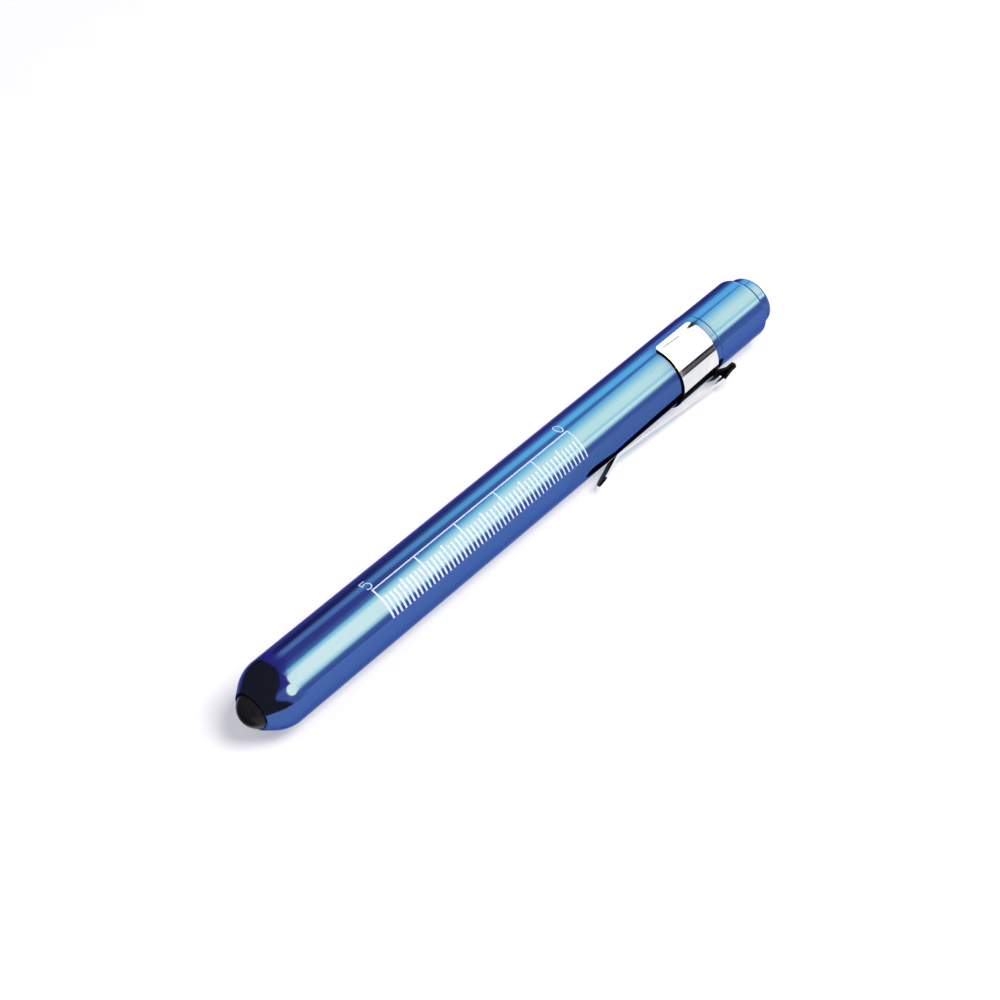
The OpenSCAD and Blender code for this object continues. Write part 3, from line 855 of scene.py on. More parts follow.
@dataclass
class Ruler:
    """The ruler printed along the barrel: 51 lines a millimetre apart, a base line and two figures.

    Attributes:
        axis: the light's axis.
        radius: the barrel's radius.
        ink: thickness of the ink.
        zero_station: station of the line at nought.
        count: number of lines.
        pitch: distance between them.
        line: width of the base line.
        mark: width of the line at nought.
        spread: share by which the last line is wider.
        base_turn: turn of the base line.
        far_end: turn at which the lines end.
        five_start: turn at which every fifth line starts.
        one_start: turn at which the others start.
        rising: turn in radians where a line starts and stops widening, and its width there.
        falling: the same for its thin end.
        figure_turn: turn of the figures' middle.
        figure_stroke: width of their stroke.
        nought_ahead: how far in front of its line the nought stands.
    """

    axis: PenAxis
    radius: float = 6.15
    ink: float = 0.01
    zero_station: float = 79.7
    count: int = 51
    pitch: float = 1.0
    line: float = 0.25
    mark: float = 0.29
    spread: float = 0.5
    base_turn: float = 6.4
    far_end: float = 62.3
    five_start: float = 20.0
    one_start: float = 26.0
    rising: tuple[float, ...] = (0.24, 0.46, 0.74, 1.18)
    falling: tuple[float, ...] = (0.80, 1.08, 1.0, 0.76)
    figure_turn: float = -8.4
    figure_stroke: float = 0.21
    nought_ahead: float = 0.6

    def _draw(self, sheet: Sheet, get: Sockets) -> Socket:
        """Lays the lines out flat and wraps them round the barrel."""
        index = sheet.out("GeometryNodeInputIndex")
        ten, five = (sheet.math("COMPARE", sheet.math("MODULO", index, every), 0.0, 0.1) for every in (10.0, 5.0))
        arc = sheet.times(get["Radius"], math.pi / 180)
        start = sheet.out("ShaderNodeMix", {0: five, 2: get["One Start"], 3: get["Five Start"]})
        start = sheet.out("ShaderNodeMix", {0: ten, 2: start, 3: get["Base Turn"]})
        length = sheet.times(sheet.minus(get["Far End"], start), arc)
        middle = sheet.times(sheet.plus(get["Far End"], start), sheet.times(arc, 0.5))
        row = sheet.out("GeometryNodeMeshLine", {
            "Count": get["Count"], "Offset": sheet.xyz(sheet.times(get["Pitch"], -1.0))})
        row = sheet.out("GeometryNodeSetPosition", {"Geometry": row, "Offset": sheet.xyz(0.0, middle)})
        stroke = sheet.out("GeometryNodeMeshCube", {
            "Size": (1, 1, 1), "Vertices X": 2, "Vertices Y": 22, "Vertices Z": 2})
        widened = sheet.times(sheet.over(index, get["Count"]), get["Spread"])
        width = sheet.times(get["Mark"], sheet.plus(widened, 1.0))
        strokes = sheet.out("GeometryNodeInstanceOnPoints", {
            "Points": row, "Instance": stroke, "Scale": sheet.xyz(width, length, get["Ink"])})
        strokes = sheet.out("GeometryNodeRealizeInstances", {"Geometry": strokes})
        span = sheet.times(sheet.minus(get["Count"], 1.0), get["Pitch"])
        base = sheet.out("GeometryNodeMeshCube", {
            "Size": sheet.xyz(sheet.plus(span, get["Line"]), get["Line"], get["Ink"]),
            "Vertices X": 2, "Vertices Y": 3, "Vertices Z": 2})
        base = sheet.out("GeometryNodeTransform", {
            "Geometry": base,
            "Translation": sheet.xyz(sheet.times(span, -0.5), sheet.times(get["Base Turn"], arc))})
        flat = sheet.add("GeometryNodeJoinGeometry")
        for part in (strokes, base):
            sheet.tree.links.new(part, flat.inputs[0])
        spot = sheet.parts(sheet.out("GeometryNodeInputPosition"))
        turn = sheet.over(spot[1], get["Radius"])
        reach = sheet.plus(get["Radius"], spot[2])
        near = sheet.times(reach, sheet.times(sheet.math("SINE", turn), -1.0))
        up = sheet.times(reach, sheet.math("COSINE", turn))
        middle = sheet.times(sheet.math("ROUND", sheet.over(spot[0], get["Pitch"])), get["Pitch"])
        squeezed = sheet.times(sheet.spread(turn, *self.rising), sheet.spread(turn, *self.falling))
        along = sheet.times(sheet.minus(spot[0], middle), squeezed)
        bent = sheet.out("ShaderNodeVectorMath", {
            0: sheet.xyz(sheet.plus(middle, along), near, up), 1: get["Zero"]}, operation="ADD")
        return sheet.out("GeometryNodeSetPosition", {"Geometry": flat.outputs[0], "Position": bent})

    def _figure(self, work: bmesh.types.BMesh, path: Sequence[Point], station: float, closed: bool) -> None:
        """Adds one printed figure as a ribbon wrapped round the barrel.

        Args:
            work: the mesh that takes it.
            path: points of the stroke, right and up from the figure's middle.
            station: station of the figure's middle.
            closed: whether the stroke closes on itself.
        """
        count = len(path)
        sides: list[tuple[Vector, Vector]] = []
        for i, spot in enumerate(path):
            here = Vector(spot)
            on = Vector(path[(i + 1) % count]) - here if closed or i < count - 1 else here - Vector(path[i - 1])
            back = here - Vector(path[i - 1]) if closed or i > 0 else on
            along = (on.normalized() + back.normalized()).normalized()
            across = Vector((-along.y, along.x)) * (self.figure_stroke / 2) / max(0.5, along.dot(on.normalized()))
            sides.append((here - across, here + across))
        if closed:
            sides.append(sides[0])

        def wrap(spot: Vector, lift: float) -> Vector:
            """Places a flat point on the barrel, at a height in the ink."""
            turn = self.figure_turn - math.degrees(spot.y / self.radius)
            return self.axis.at(station + spot.x, self.radius + lift, turn)

        low, high = ([[wrap(side, lift) for side in pair] for pair in sides] for lift in (-self.ink / 2, self.ink / 2))
        shell(work, low, high)

    def build(self, finish: bpy.types.Material) -> None:
        """Prints the lines and the figures."""
        lines = grown("ruler_lines", {
            "Count": self.count, "Pitch": self.pitch * MM, "Line": self.line * MM, "Mark": self.mark * MM,
            "Spread": self.spread, "Ink": self.ink * MM, "Radius": self.radius * MM, "Base Turn": self.base_turn,
            "Far End": self.far_end, "Five Start": self.five_start, "One Start": self.one_start,
            "Zero": self.axis.at(self.zero_station)}, finish, self._draw)
        add_piece(lines, Body.BARREL, Slot.ANODISED, finish)
        work = bmesh.new()
        nought = [(0.62 * math.cos(a), 1.08 * math.sin(a)) for a in (math.tau * k / 40 for k in range(40))]
        self._figure(work, nought, self.zero_station - self.nought_ahead, True)
        bar = [(0.74 - 0.2 * k, 1.04) for k in range(7)]
        stem = [(-0.47 - 0.01 * k, 0.84 - 0.17 * k) for k in range(5)]
        bowl = [(0.13 + 0.70 * math.cos(math.radians(a)), -0.36 + 0.74 * math.sin(math.radians(a)))
                for a in range(128, -146, -13)]
        five_station = self.zero_station - (self.count - 1) * self.pitch
        self._figure(work, [*bar, *stem, (-0.42, 0.13), *bowl], five_station, False)
        bmesh.ops.remove_doubles(work, verts=work.verts, dist=0.0005 * MM)
        add_piece(finished("ruler_figures", work, 40), Body.BARREL, Slot.ANODISED, finish)


@dataclass
class Lens:
    """The smoked dome with its neck and flange."""

    axis: PenAxis
    radius: float = 3.2
    reach: float = 2.1
    wall: float = 0.9
    flange_station: float = 3.5
    flange_end: float = 4.35
    flange_radius: float = 3.9
    steps: int = 24

    def _dome(self, base: float, height: float, start: float) -> list[Triple]:
        """Points of a ball's cap from its pole to its base.

        Args:
            base: radius of the base.
            height: height of the cap, less than the ball's radius.
            start: station of the pole.

        Returns:
            Profile points.
        """
        ball = (base * base + height * height) / (2 * height)
        last = math.asin(min(1.0, base / ball))
        angles = [last * k / self.steps for k in range(self.steps + 1)]
        return [(start + ball * (1 - math.cos(angle)), ball * math.sin(angle), 0.0) for angle in angles]

    def build(self, finish: bpy.types.Material) -> None:
        """Makes and dresses the lens."""
        hole = self.radius - self.wall
        outside = self._dome(self.radius, self.reach, 0.0)
        inside = self._dome(hole, self.reach - self.wall / 2, self.wall / 2)
        neck = eased([(self.reach, self.radius, 0.0), (self.flange_station, self.radius, 0.0),
                      (self.flange_station, self.flange_radius, 0.06), (self.flange_end, self.flange_radius, 0.06),
                      (self.flange_end, hole, 0.0)])
        piece = lathe("lens_dome", self.axis, outside + neck[1:] + inside[::-1], 128)
        add_piece(piece, Body.BARREL, Slot.LENS, finish, "lens")


@dataclass
class TailCap:
    """The screwed cap with its spigot, thread and guide for the button."""

    axis: PenAxis
    radius: float = 6.08
    front: float = 119.086
    rear: float = 133.086
    rear_ease: float = 0.75
    spigot_front: float = 109.986
    spigot: float = 5.6
    thread_depth: float = 0.24
    thread_pitch: float = 0.75
    thread_turns: float = 7.5
    thread_lead: float = 0.25
    root_turns: float = 8.0
    groove_middle: float = 117.986
    groove_half: float = 0.35
    groove_radius: float = 4.985
    switch_hole: float = 4.45
    ledge_station: float = 126.886
    ledge_hole: float = 4.0
    guide_station: float = 127.886
    guide: float = 5.02

    def _profile(self) -> list[Triple]:
        """Gives the closed profile of the cap, with the thread's root turned down."""
        root = self.spigot - self.thread_depth
        thread_end = self.spigot_front + self.root_turns * self.thread_pitch
        groove = (self.groove_middle - self.groove_half, self.groove_middle + self.groove_half)
        return eased([
            (self.spigot_front, self.switch_hole, 0.05),
            (self.spigot_front, root, 0.1),
            (thread_end, root, 0.0),
            (thread_end + self.thread_depth, self.spigot, 0.03),
            (groove[0], self.spigot, 0.05),
            (groove[0], self.groove_radius, 0.0),
            (groove[1], self.groove_radius, 0.0),
            (groove[1], self.spigot, 0.05),
            (self.front, self.spigot, 0.0),
            (self.front, self.radius, 0.10),
            (self.rear, self.radius, self.rear_ease),
            (self.rear, self.guide, 0.08),
            (self.guide_station, self.guide, 0.0),
            (self.guide_station, self.ledge_hole, 0.05),
            (self.ledge_station, self.ledge_hole, 0.05),
            (self.ledge_station, self.switch_hole, 0.0),
        ], 10)

    def _wind(self, sheet: Sheet, get: Sockets) -> Socket:
        """Winds the thread's ridge, which has three sides and is sunk a little into its root."""
        middle = sheet.plus(get["Root"], sheet.times(get["Depth"], 0.25))
        coil = sheet.out("GeometryNodeCurveSpiral", {
            "Resolution": 64, "Rotations": get["Turns"], "Start Radius": middle, "End Radius": middle,
            "Height": sheet.times(get["Turns"], get["Pitch"]), "Reverse": True})
        upright = sheet.out("GeometryNodeSetCurveNormal", {"Curve": coil})
        return swept(sheet, upright, 3, sheet.times(get["Depth"], 0.9), get["Start"])

    def build(self, finish: bpy.types.Material) -> None:
        """Makes and dresses the cap and its thread."""
        piece = lathe("tail_cap_shell", self.axis, self._profile(), 192)
        add_piece(piece, Body.TAIL_CAP, Slot.ANODISED, finish, "tail_cap")
        thread = grown("tail_cap_thread", {
            "Turns": self.thread_turns, "Pitch": self.thread_pitch * MM,
            "Root": (self.spigot - self.thread_depth) * MM, "Depth": self.thread_depth * MM,
            "Start": self.axis.at(self.spigot_front + self.thread_lead)}, finish, self._wind)
        add_piece(thread, Body.TAIL_CAP, Slot.ANODISED, finish)


@dataclass
class PushButton:
    """The button with its rounded edge, open towards the switch."""

    axis: PenAxis
    radius: float = 4.95
    front: float = 129.936
    rear: float = 135.886
    edge: float = 0.6
    floor: float = 133.286
    seat: float = 134.286
    seat_radius: float = 2.0
    hole: float = 4.15

    def build(self, finish: bpy.types.Material) -> None:
        """Makes and dresses the button."""
        profile = eased([
            (self.seat, 0.0, 0.0),
            (self.seat, self.seat_radius, 0.0),
            (self.floor, self.seat_radius, 0.05),
            (self.floor, self.hole, 0.0),
            (self.front, self.hole, 0.05),
            (self.front, self.radius, 0.08),
            (self.rear, self.radius, self.edge),
            (self.rear, 0.0, 0.0),
        ], 10)
        piece = lathe("push_button_shell", self.axis, profile, 160)
        add_piece(piece, Body.BUTTON, Slot.ANODISED, finish, "push_button")


@dataclass
class Clip:
    """The chromed clip: a split band, the fold behind it and the sprung arm.

    Attributes:
        axis: the light's axis.
        turn: turn of the arm's middle.
        wrap: angle that the band covers.
        band_in: the band's inner radius.
        band_sheet: its thickness.
        band_from: station of its front edge.
        band_to: station of its rear edge.
        corner: radius of its corners.
        sheet: thickness of the fold and the arm.
        root_width: the arm's width at the fold.
        tip_width: its width at the tip.
        tongue: how far the fold's sheet lies under the band.
        slope: length of the slope from the band to the fold's inner leg.
        fold_station: station of the fold's middle.
        fold_middle: radius of the fold's middle.
        fold_radius: half the distance between its legs.
        lead: length of each straight piece in front of the fold.
        crest: station and radius of the arm's highest bend.
        foot: the same for the bend that presses on the barrel.
        tip: the same for the lip's end.
        bend_radius: radius of both bends.
        bare_root: length in front of the fold where the sheet gets near-black painted shade.
        bare_tip: the same at the lip's end.
    """

    axis: PenAxis
    turn: float = 121.0
    wrap: float = 260.0
    band_in: float = 6.17
    band_sheet: float = 0.4
    band_from: float = 106.636
    band_to: float = 116.936
    corner: float = 1.0
    sheet: float = 0.45
    root_width: float = 5.0
    tip_width: float = 4.0
    tongue: float = 0.3
    slope: float = 1.65
    fold_station: float = 120.236
    fold_middle: float = 7.42
    fold_radius: float = 0.425
    lead: float = 0.45
    crest: Point = (116.436, 8.325)
    foot: Point = (87.336, 6.395)
    tip: Point = (81.345, 8.342)
    bend_radius: float = 1.6
    bare_root: float = 3.0
    bare_tip: float = 0.9

    def _band(self, work: bmesh.types.BMesh) -> None:
        """Adds the split band with its rounded corners."""
        outside = self.band_in + self.band_sheet
        mean = (self.band_in + outside) / 2
        total = math.radians(self.wrap) * mean
        corner_steps, wrap_steps, columns = 10, 120, 24
        ends = [self.corner * (1 - math.cos(math.pi / 2 * k / corner_steps)) for k in range(corner_steps + 1)]
        middle = [self.corner + (total - 2 * self.corner) * k / wrap_steps for k in range(1, wrap_steps)]
        low, high = [], []
        for spot in ends + middle + [total - spot for spot in reversed(ends)]:
            short = max(0.0, self.corner - min(spot, total - spot))
            cut = self.corner - math.sqrt(max(0.0, self.corner ** 2 - short ** 2))
            start, end = self.band_from + cut, self.band_to - cut
            turn = self.turn - self.wrap / 2 + math.degrees(spot / mean)
            stations = [start + (end - start) * k / columns for k in range(columns + 1)]
            for rows, radius in ((low, self.band_in), (high, outside)):
                rows.append([self.axis.at(station, radius, turn) for station in stations])
        # The band's inner face and rim get near-black painted shade.
        shell(work, low, high, (1.0, 0.0, 1.0))

    def _strip(self, work: bmesh.types.BMesh, path: Sequence[Point], width: Callable[[float], float],
               dull: Triple, columns: int = 8) -> None:
        """Adds a strip of sheet along a path of station and radius.

        Args:
            work: the mesh that takes it.
            path: the sheet's middle line.
            width: gives the width at a station.
            dull: how much near-black painted shade the face right of the path, the face left of it and the rim get.
            columns: number of faces across.
        """
        low, high = [], []
        for i, spot in enumerate(path):
            here = Vector(spot)
            back = here - Vector(path[i - 1]) if i > 0 else Vector(path[1]) - here
            on = Vector(path[i + 1]) - here if i < len(path) - 1 else back
            back.normalize()
            on.normalize()
            along = (back + on).normalized()
            side = Vector((-along.y, along.x)) * self.sheet / 2 / max(0.5, along.dot(back))
            half = width(spot[0]) / 2
            for rows, point in ((low, here - side), (high, here + side)):
                rows.append([self.axis.at(point.x, point.y, self.turn, -half + 2 * half * k / columns)
                             for k in range(columns + 1)])
        shell(work, low, high, dull)

    def _arm_width(self, station: float) -> float:
        """Gives the arm's width at a station, with its round end."""
        round_from = self.tip[0] + self.tip_width / 2
        if station >= round_from:
            share = (station - round_from) / (self.fold_station - round_from)
            return self.tip_width + (self.root_width - self.tip_width) * share
        short = min(round_from - station, self.tip_width / 2 - 0.02)
        return 2 * math.sqrt((self.tip_width / 2) ** 2 - short ** 2)

    def _fold_path(self) -> list[Point]:
        """Gives the fold's middle line, from under the band to the start of the arm."""
        root = self.band_in + self.sheet / 2
        turns = [math.radians(angle) for angle in range(-90, 91, 9)]
        arc = [(self.fold_station + self.fold_radius * math.cos(a), self.fold_middle + self.fold_radius * math.sin(a))
               for a in turns]
        return [(self.band_to - self.tongue, root), (self.band_to, root),
                (self.band_to + self.slope, self.fold_middle - self.fold_radius), *arc,
                (self.fold_station - self.lead, self.fold_middle + self.fold_radius)]

    def _arm_path(self) -> list[Point]:
        """Gives the arm's middle line, from the fold to the end of the lip."""
        start = (self.fold_station - self.lead, self.fold_middle + self.fold_radius)
        lead = (start[0] - self.lead, start[1])
        bend_steps, middle_steps, lip_steps = 14, 12, 18
        crest = rounding(lead, self.crest, self.foot, self.bend_radius, bend_steps)[1:-1]
        foot = rounding(self.crest, self.foot, self.tip, self.bend_radius, bend_steps)[1:-1]
        middle = [between(crest[-1], foot[0], k / middle_steps) for k in range(1, middle_steps)]
        lip = [between(foot[-1], self.tip, math.sin(math.pi / 2 * k / lip_steps)) for k in range(1, lip_steps + 1)]
        return [start, lead, *crest, *middle, *foot, *lip]

    def build(self, finish: bpy.types.Material) -> None:
        """Makes and dresses the band and the arm."""
        work = bmesh.new()
        self._band(work)
        # The fold's sheet gets near-black painted shade all over.
        self._strip(work, self._fold_path(), lambda station: self.root_width, (1.0, 1.0, 1.0))
        band = finished("clip_band_sheet", work, 35)
        ease_edges(band, 0.07)
        add_piece(band, Body.BARREL, Slot.CLIP, finish, "clip_band")

        work = bmesh.new()
        # The arm's inner face gets near-black painted shade, and so does all of the arm near the fold and at the lip's
        # end.
        self._strip(work, self._arm_path(), self._arm_width, (0.0, 1.0, 0.0))
        mark = work.faces.layers.float["dull"]
        for face in work.faces:
            station = (face.calc_center_median().x - self.axis.tip_x) / MM
            if station > self.fold_station - self.bare_root or station < self.tip[0] + self.bare_tip:
                face[mark] = 1.0
        arm = finished("clip_arm_sheet", work, 35)
        ease_edges(arm, 0.08)
        add_piece(arm, Body.CLIP_ARM, Slot.CLIP, finish, "clip_arm")


@dataclass
class WireSpring:
    """A spring wound of round wire along the light's axis.

    Attributes:
        axis: the light's axis.
        node: the solid that it stands for, which gives its name, place and length.
        wire: the wire's diameter.
        curls: number of curls.
        tip_radius: mean radius at the front end.
        base_radius: mean radius at the rear end.
        joint: the joint that presses its rear end forward, if any.
        travel: how far that joint presses it; not used.
    """

    axis: PenAxis
    node: str
    wire: float
    curls: float
    tip_radius: float
    base_radius: float
    joint: str = ""
    travel: float = 0.0

    def _wind(self, sheet: Sheet, get: Sockets) -> Socket:
        """Winds the wire."""
        coil = sheet.out("GeometryNodeCurveSpiral", {
            "Resolution": 40, "Rotations": get["Curls"], "Start Radius": get["Tip"], "End Radius": get["Base"],
            "Height": get["Height"], "Reverse": False})
        return swept(sheet, coil, 12, sheet.times(get["Wire"], 0.5), get["Start"])

    def build(self, finish: bpy.types.Material) -> None:
        """Makes and dresses the spring."""
        low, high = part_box(self.node)
        length = high.x - low.x
        front = Vector((low.x, self.axis.y, self.axis.z))
        piece = grown(self.node + "_wire", {
            "Curls": self.curls, "Height": length - self.wire * MM, "Tip": self.tip_radius * MM,
            "Base": self.base_radius * MM, "Wire": self.wire * MM,
            "Start": front + Vector((self.wire * MM / 2, 0, 0))}, finish, self._wind)
        add_piece(piece, Body.TAIL_CAP, Slot.SPRING, finish, self.node)
        if self.joint:
            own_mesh(piece)


@dataclass
class Insides:
    """The parts inside the light, which keep their CAD shapes."""

    effects: Effects

    def _finishes(self) -> dict[str, bpy.types.Material]:
        """Makes the finish of each kept node.

        Returns:
            Node name to material.
        """
        table = (
            (Moulded, "seal_rubber_finish", ((0.018, 0.018, 0.019), (0.032, 0.032, 0.033), 0.62, 0.1, 0.35),
             ("lens_gasket", "cap_seal_ring")),
            (BrightMetal, "metallised_cone", ((0.42, 0.42, 0.43), (0.34, 0.34, 0.35), 0.16, 0.08, 0.2, 1.0),
             ("lamp_holder",)),
            (ClearEpoxy, "clear_epoxy", (), ("lamp",)),
            (BrightMetal, "tinned_wire_finish", ((0.74, 0.74, 0.73), (0.60, 0.60, 0.60), 0.22, 0.05, 0.3, 2.0),
             ("lamp_leads",)),
            (Moulded, "solder_mask", ((0.012, 0.115, 0.045), (0.009, 0.085, 0.033), 0.3, 0.16, 0.15),
             ("lamp_board",)),
            (Moulded, "ivory_moulding", ((0.72, 0.69, 0.58), (0.64, 0.61, 0.50), 0.42, 0.14, 0.2),
             ("contact_insulator",)),
            (BrightMetal, "gilded_brass", ((0.80, 0.58, 0.25), (0.66, 0.46, 0.19), 0.18, 0.06, 0.3, 4.0),
             ("front_contact", "switch_terminal", "moving_contact")),
            (BrightMetal, "nickel_plate", ((0.70, 0.68, 0.65), (0.58, 0.56, 0.53), 0.16, 0.07, 0.3, 5.0),
             ("front_cell_can", "rear_cell_can", "front_cell_contact", "rear_cell_contact")),
            (Moulded, "dark_nylon", ((0.035, 0.035, 0.038), (0.055, 0.055, 0.058), 0.5, 0.1, 0.2),
             ("front_cell_seal", "rear_cell_seal")),
            (Moulded, "switch_moulding", ((0.028, 0.034, 0.042), (0.040, 0.047, 0.056), 0.46, 0.12, 0.3),
             ("switch_housing",)),
            (Moulded, "white_acetal", ((0.78, 0.78, 0.74), (0.70, 0.70, 0.66), 0.36, 0.15, 0.15), ("plunger",)),
            (BrightMetal, "drawn_spring_wire", ((0.62, 0.63, 0.65), (0.48, 0.49, 0.51), 0.2, 0.04, 0.35, 6.0),
             ("switch_retainer",)),
            *((CellFilm, node + "_film", (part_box(node)[0].x,), (node,))
              for node in ("front_cell_sleeve", "rear_cell_sleeve")),
        )
        found = {}
        for kind, name, values, nodes in table:
            found.update(dict.fromkeys(nodes, kind(self.effects, name, *values).build()))
        return found

    def build(self) -> bpy.types.Material:
        """Dresses the kept nodes and returns the spring wire's finish."""
        finishes = self._finishes()
        for node, finish in finishes.items():
            piece = frame["nodes"][node]
            if not piece.material_slots:
                piece.data.materials.append(finish)
            for slot in piece.material_slots:
                slot.material = finish
            log.info("%s keeps its shape and gets %s", node, finish.name)
        return finishes["switch_retainer"]


# ---- the studio

class Glow(Enum):
    """Colours and levels of the lamps, walls and cloths that the metal mirrors."""

    BLACK = (0.010, 0.010, 0.016)
    SHADE = (0.24, 0.11, 0.24)
    DUSK = (0.50, 0.34, 0.62)
    LOW = (0.72, 0.64, 0.86)
    WALL = (0.95, 0.98, 1.02)
    HAZE = (1.12, 1.24, 1.16)
    SKY = (1.75, 3.55, 2.30)
    RIM = (3.0, 4.0, 2.08)
    SIDE = (5.4, 5.1, 2.22)
    BOX = (11.0, 6.9, 2.50)
    GREY = (0.21, 0.22, 0.24)
    INDIGO = (0.28, 0.24, 0.52)
    VIOLET = (0.42, 0.17, 0.62)
    PALE = (0.52, 0.68, 0.88)
    CLOAK = (0.17, 0.085, 0.055)
    PANEL = (8.9, 6.35, 2.3)
    WHITE = (1.05, 1.05, 1.06)
    LAMP = (1.5, 1.5, 1.5)


@dataclass(frozen=True)
class Stripe:
    """One line of a curtain of light, seen mirrored in the barrel.

    Attributes:
        front: turn at which it shows at the curtain's front gauge.
        rear: turn at which it shows at its rear gauge.
        glow: its colour and level at the front gauge.
        rear_glow: its colour and level at the rear gauge.
    """

    front: float
    rear: float
    glow: Glow
    rear_glow: Glow


Spot = tuple[Vector, Triple]


@dataclass
class Cards:
    """Cards and cloths that only the metal's reflections show.

    Attributes:
        barrel: the barrel that mirrors them.
        clip: the clip that mirrors them.
        eye: where the camera stands.
        gauges: stations at which a curtain's front and rear turns hold.
        hasten: how much sooner its tones change along the barrel than its turns do.
        material: the cards' material, whose glow each card keeps in its points.
    """

    barrel: Barrel
    clip: Clip
    eye: Vector
    gauges: Point = (24.0, 112.0)
    hasten: float = 1.8
    material: bpy.types.Material = field(init=False)

    def __post_init__(self) -> None:
        """Makes the material."""
        self.material = bpy.data.materials.new("card_glow")
        sheet = Sheet.blank(self.material)
        glow = sheet.add("ShaderNodeAttribute", attribute_name="glow").outputs["Color"]
        light = sheet.out("ShaderNodeEmission", {"Color": glow, "Strength": 1.0})
        sheet.add("ShaderNodeOutputMaterial", {"Surface": light})

    def _off(self, spot: Vector, normal: Vector, reach: float) -> Vector:
        """Follows the camera's ray off a bright surface.

        Args:
            spot: where the ray meets the surface.
            normal: the surface's direction there.
            reach: how far the ray goes on.

        Returns:
            The point that the camera sees mirrored there.
        """
        view = (self.eye - spot).normalized()
        return spot + (2 * normal.dot(view) * normal - view) * reach * MM

    def _mirrored(self, station: float, turn: float, reach: float) -> Vector:
        """Gives the point at a reach that the camera sees mirrored in the barrel at a station and turn."""
        axis = self.barrel.axis
        spot = axis.at(station, self.barrel.radius, turn)
        return self._off(spot, (spot - axis.at(station)).normalized(), reach)

    def _mirrored_nose(self, travel: float, turn: float, reach: float) -> Vector:
        """Gives the point at a reach that the camera sees mirrored in the nose, a travel from its rim."""
        axis = self.barrel.axis
        station, radius, slope = self.barrel.outside(travel)
        normal = axis.at(station - math.sin(slope), math.cos(slope), turn) - axis.at(station)
        return self._off(axis.at(station, radius, turn), normal.normalized(), reach)

    def _add(self, name: str, rows: list[list[Spot]]) -> None:
        """Adds a card.

        Args:
            name: name of the card.
            rows: rows of points, each with its place and its glow.
        """
        mesh = bpy.data.meshes.new(name)
        cols = len(rows[0])
        faces = [(i * cols + j, i * cols + j + 1, (i + 1) * cols + j + 1, (i + 1) * cols + j)
                 for i in range(len(rows) - 1) for j in range(cols - 1)]
        mesh.from_pydata([tuple(point) for row in rows for point, _ in row], [], faces)
        layer = mesh.attributes.new("glow", "FLOAT_COLOR", "POINT")
        for spot, (_, glow) in zip(layer.data, (cell for row in rows for cell in row)):
            spot.color = (*glow, 1.0)
        mesh.materials.append(self.material)
        card = placed(name, mesh)
        for ray in ("camera", "diffuse", "transmission", "volume_scatter", "shadow"):
            setattr(card, "visible_" + ray, False)

    def _curtain(self, name: str, stripes: Sequence[Stripe], stations: Sequence[float], reach: float,
                 steps: int = 8) -> None:
        """Hangs a curtain of light where the barrel mirrors it to the camera.

        Args:
            name: name of the curtain.
            stripes: its lines in order of turn.
            stations: stations of its rows.
            reach: distance from the barrel.
            steps: number of faces between two lines.
        """
        front, rear = self.gauges
        rows = []
        for station in stations:
            share = (station - front) / (rear - front)
            tone = min(1.0, max(0.0, self.hasten * share))
            lines = [(stripe.front + (stripe.rear - stripe.front) * share,
                      between(stripe.glow.value, stripe.rear_glow.value, tone)) for stripe in stripes]
            row = []
            for (turn, glow), (next_turn, next_glow) in zip(lines, lines[1:]):
                row += [(self._mirrored(station, turn + (next_turn - turn) * k / steps, reach),
                         between(glow, next_glow, k / steps)) for k in range(steps)]
            row.append((self._mirrored(station, lines[-1][0], reach), lines[-1][1]))
            rows.append(row)
        self._add(name, rows)

    def _long_curtain(self) -> None:
        """Hangs the far curtain, which draws the stripes along the barrel."""
        stripes = [
            Stripe(-33, -33, Glow.DUSK, Glow.DUSK),
            Stripe(-26, -29, Glow.SHADE, Glow.DUSK),
            Stripe(-17.6, -21, Glow.SHADE, Glow.WALL),
            Stripe(-11.5, -13.5, Glow.HAZE, Glow.SKY),
            Stripe(-6, -4.5, Glow.HAZE, Glow.SKY),
            Stripe(-2, -1, Glow.DUSK, Glow.WALL),
            Stripe(7, 1, Glow.DUSK, Glow.WALL),
            Stripe(15.4, 2.6, Glow.WALL, Glow.SKY),
            Stripe(18, 7, Glow.RIM, Glow.RIM),
            Stripe(21.5, 12.5, Glow.SIDE, Glow.SIDE),
            Stripe(25.5, 22, Glow.BOX, Glow.PANEL),
            Stripe(36, 33.2, Glow.BOX, Glow.PANEL),
            Stripe(38.6, 37.0, Glow.BOX, Glow.SIDE),
            Stripe(40.3, 39.3, Glow.BOX, Glow.SIDE),
            Stripe(41.5, 41.0, Glow.BOX, Glow.BOX),
            Stripe(43.2, 42.5, Glow.BOX, Glow.BOX),
            Stripe(48.5, 45.2, Glow.SIDE, Glow.SIDE),
            Stripe(52, 48.2, Glow.WALL, Glow.WALL),
            Stripe(56, 52, Glow.LOW, Glow.LOW),
            Stripe(61, 61, Glow.LOW, Glow.WALL),
        ]
        self._curtain("long_curtain", stripes, [-110, -70, -40, -20, *range(-6, 171, 8)], 400)

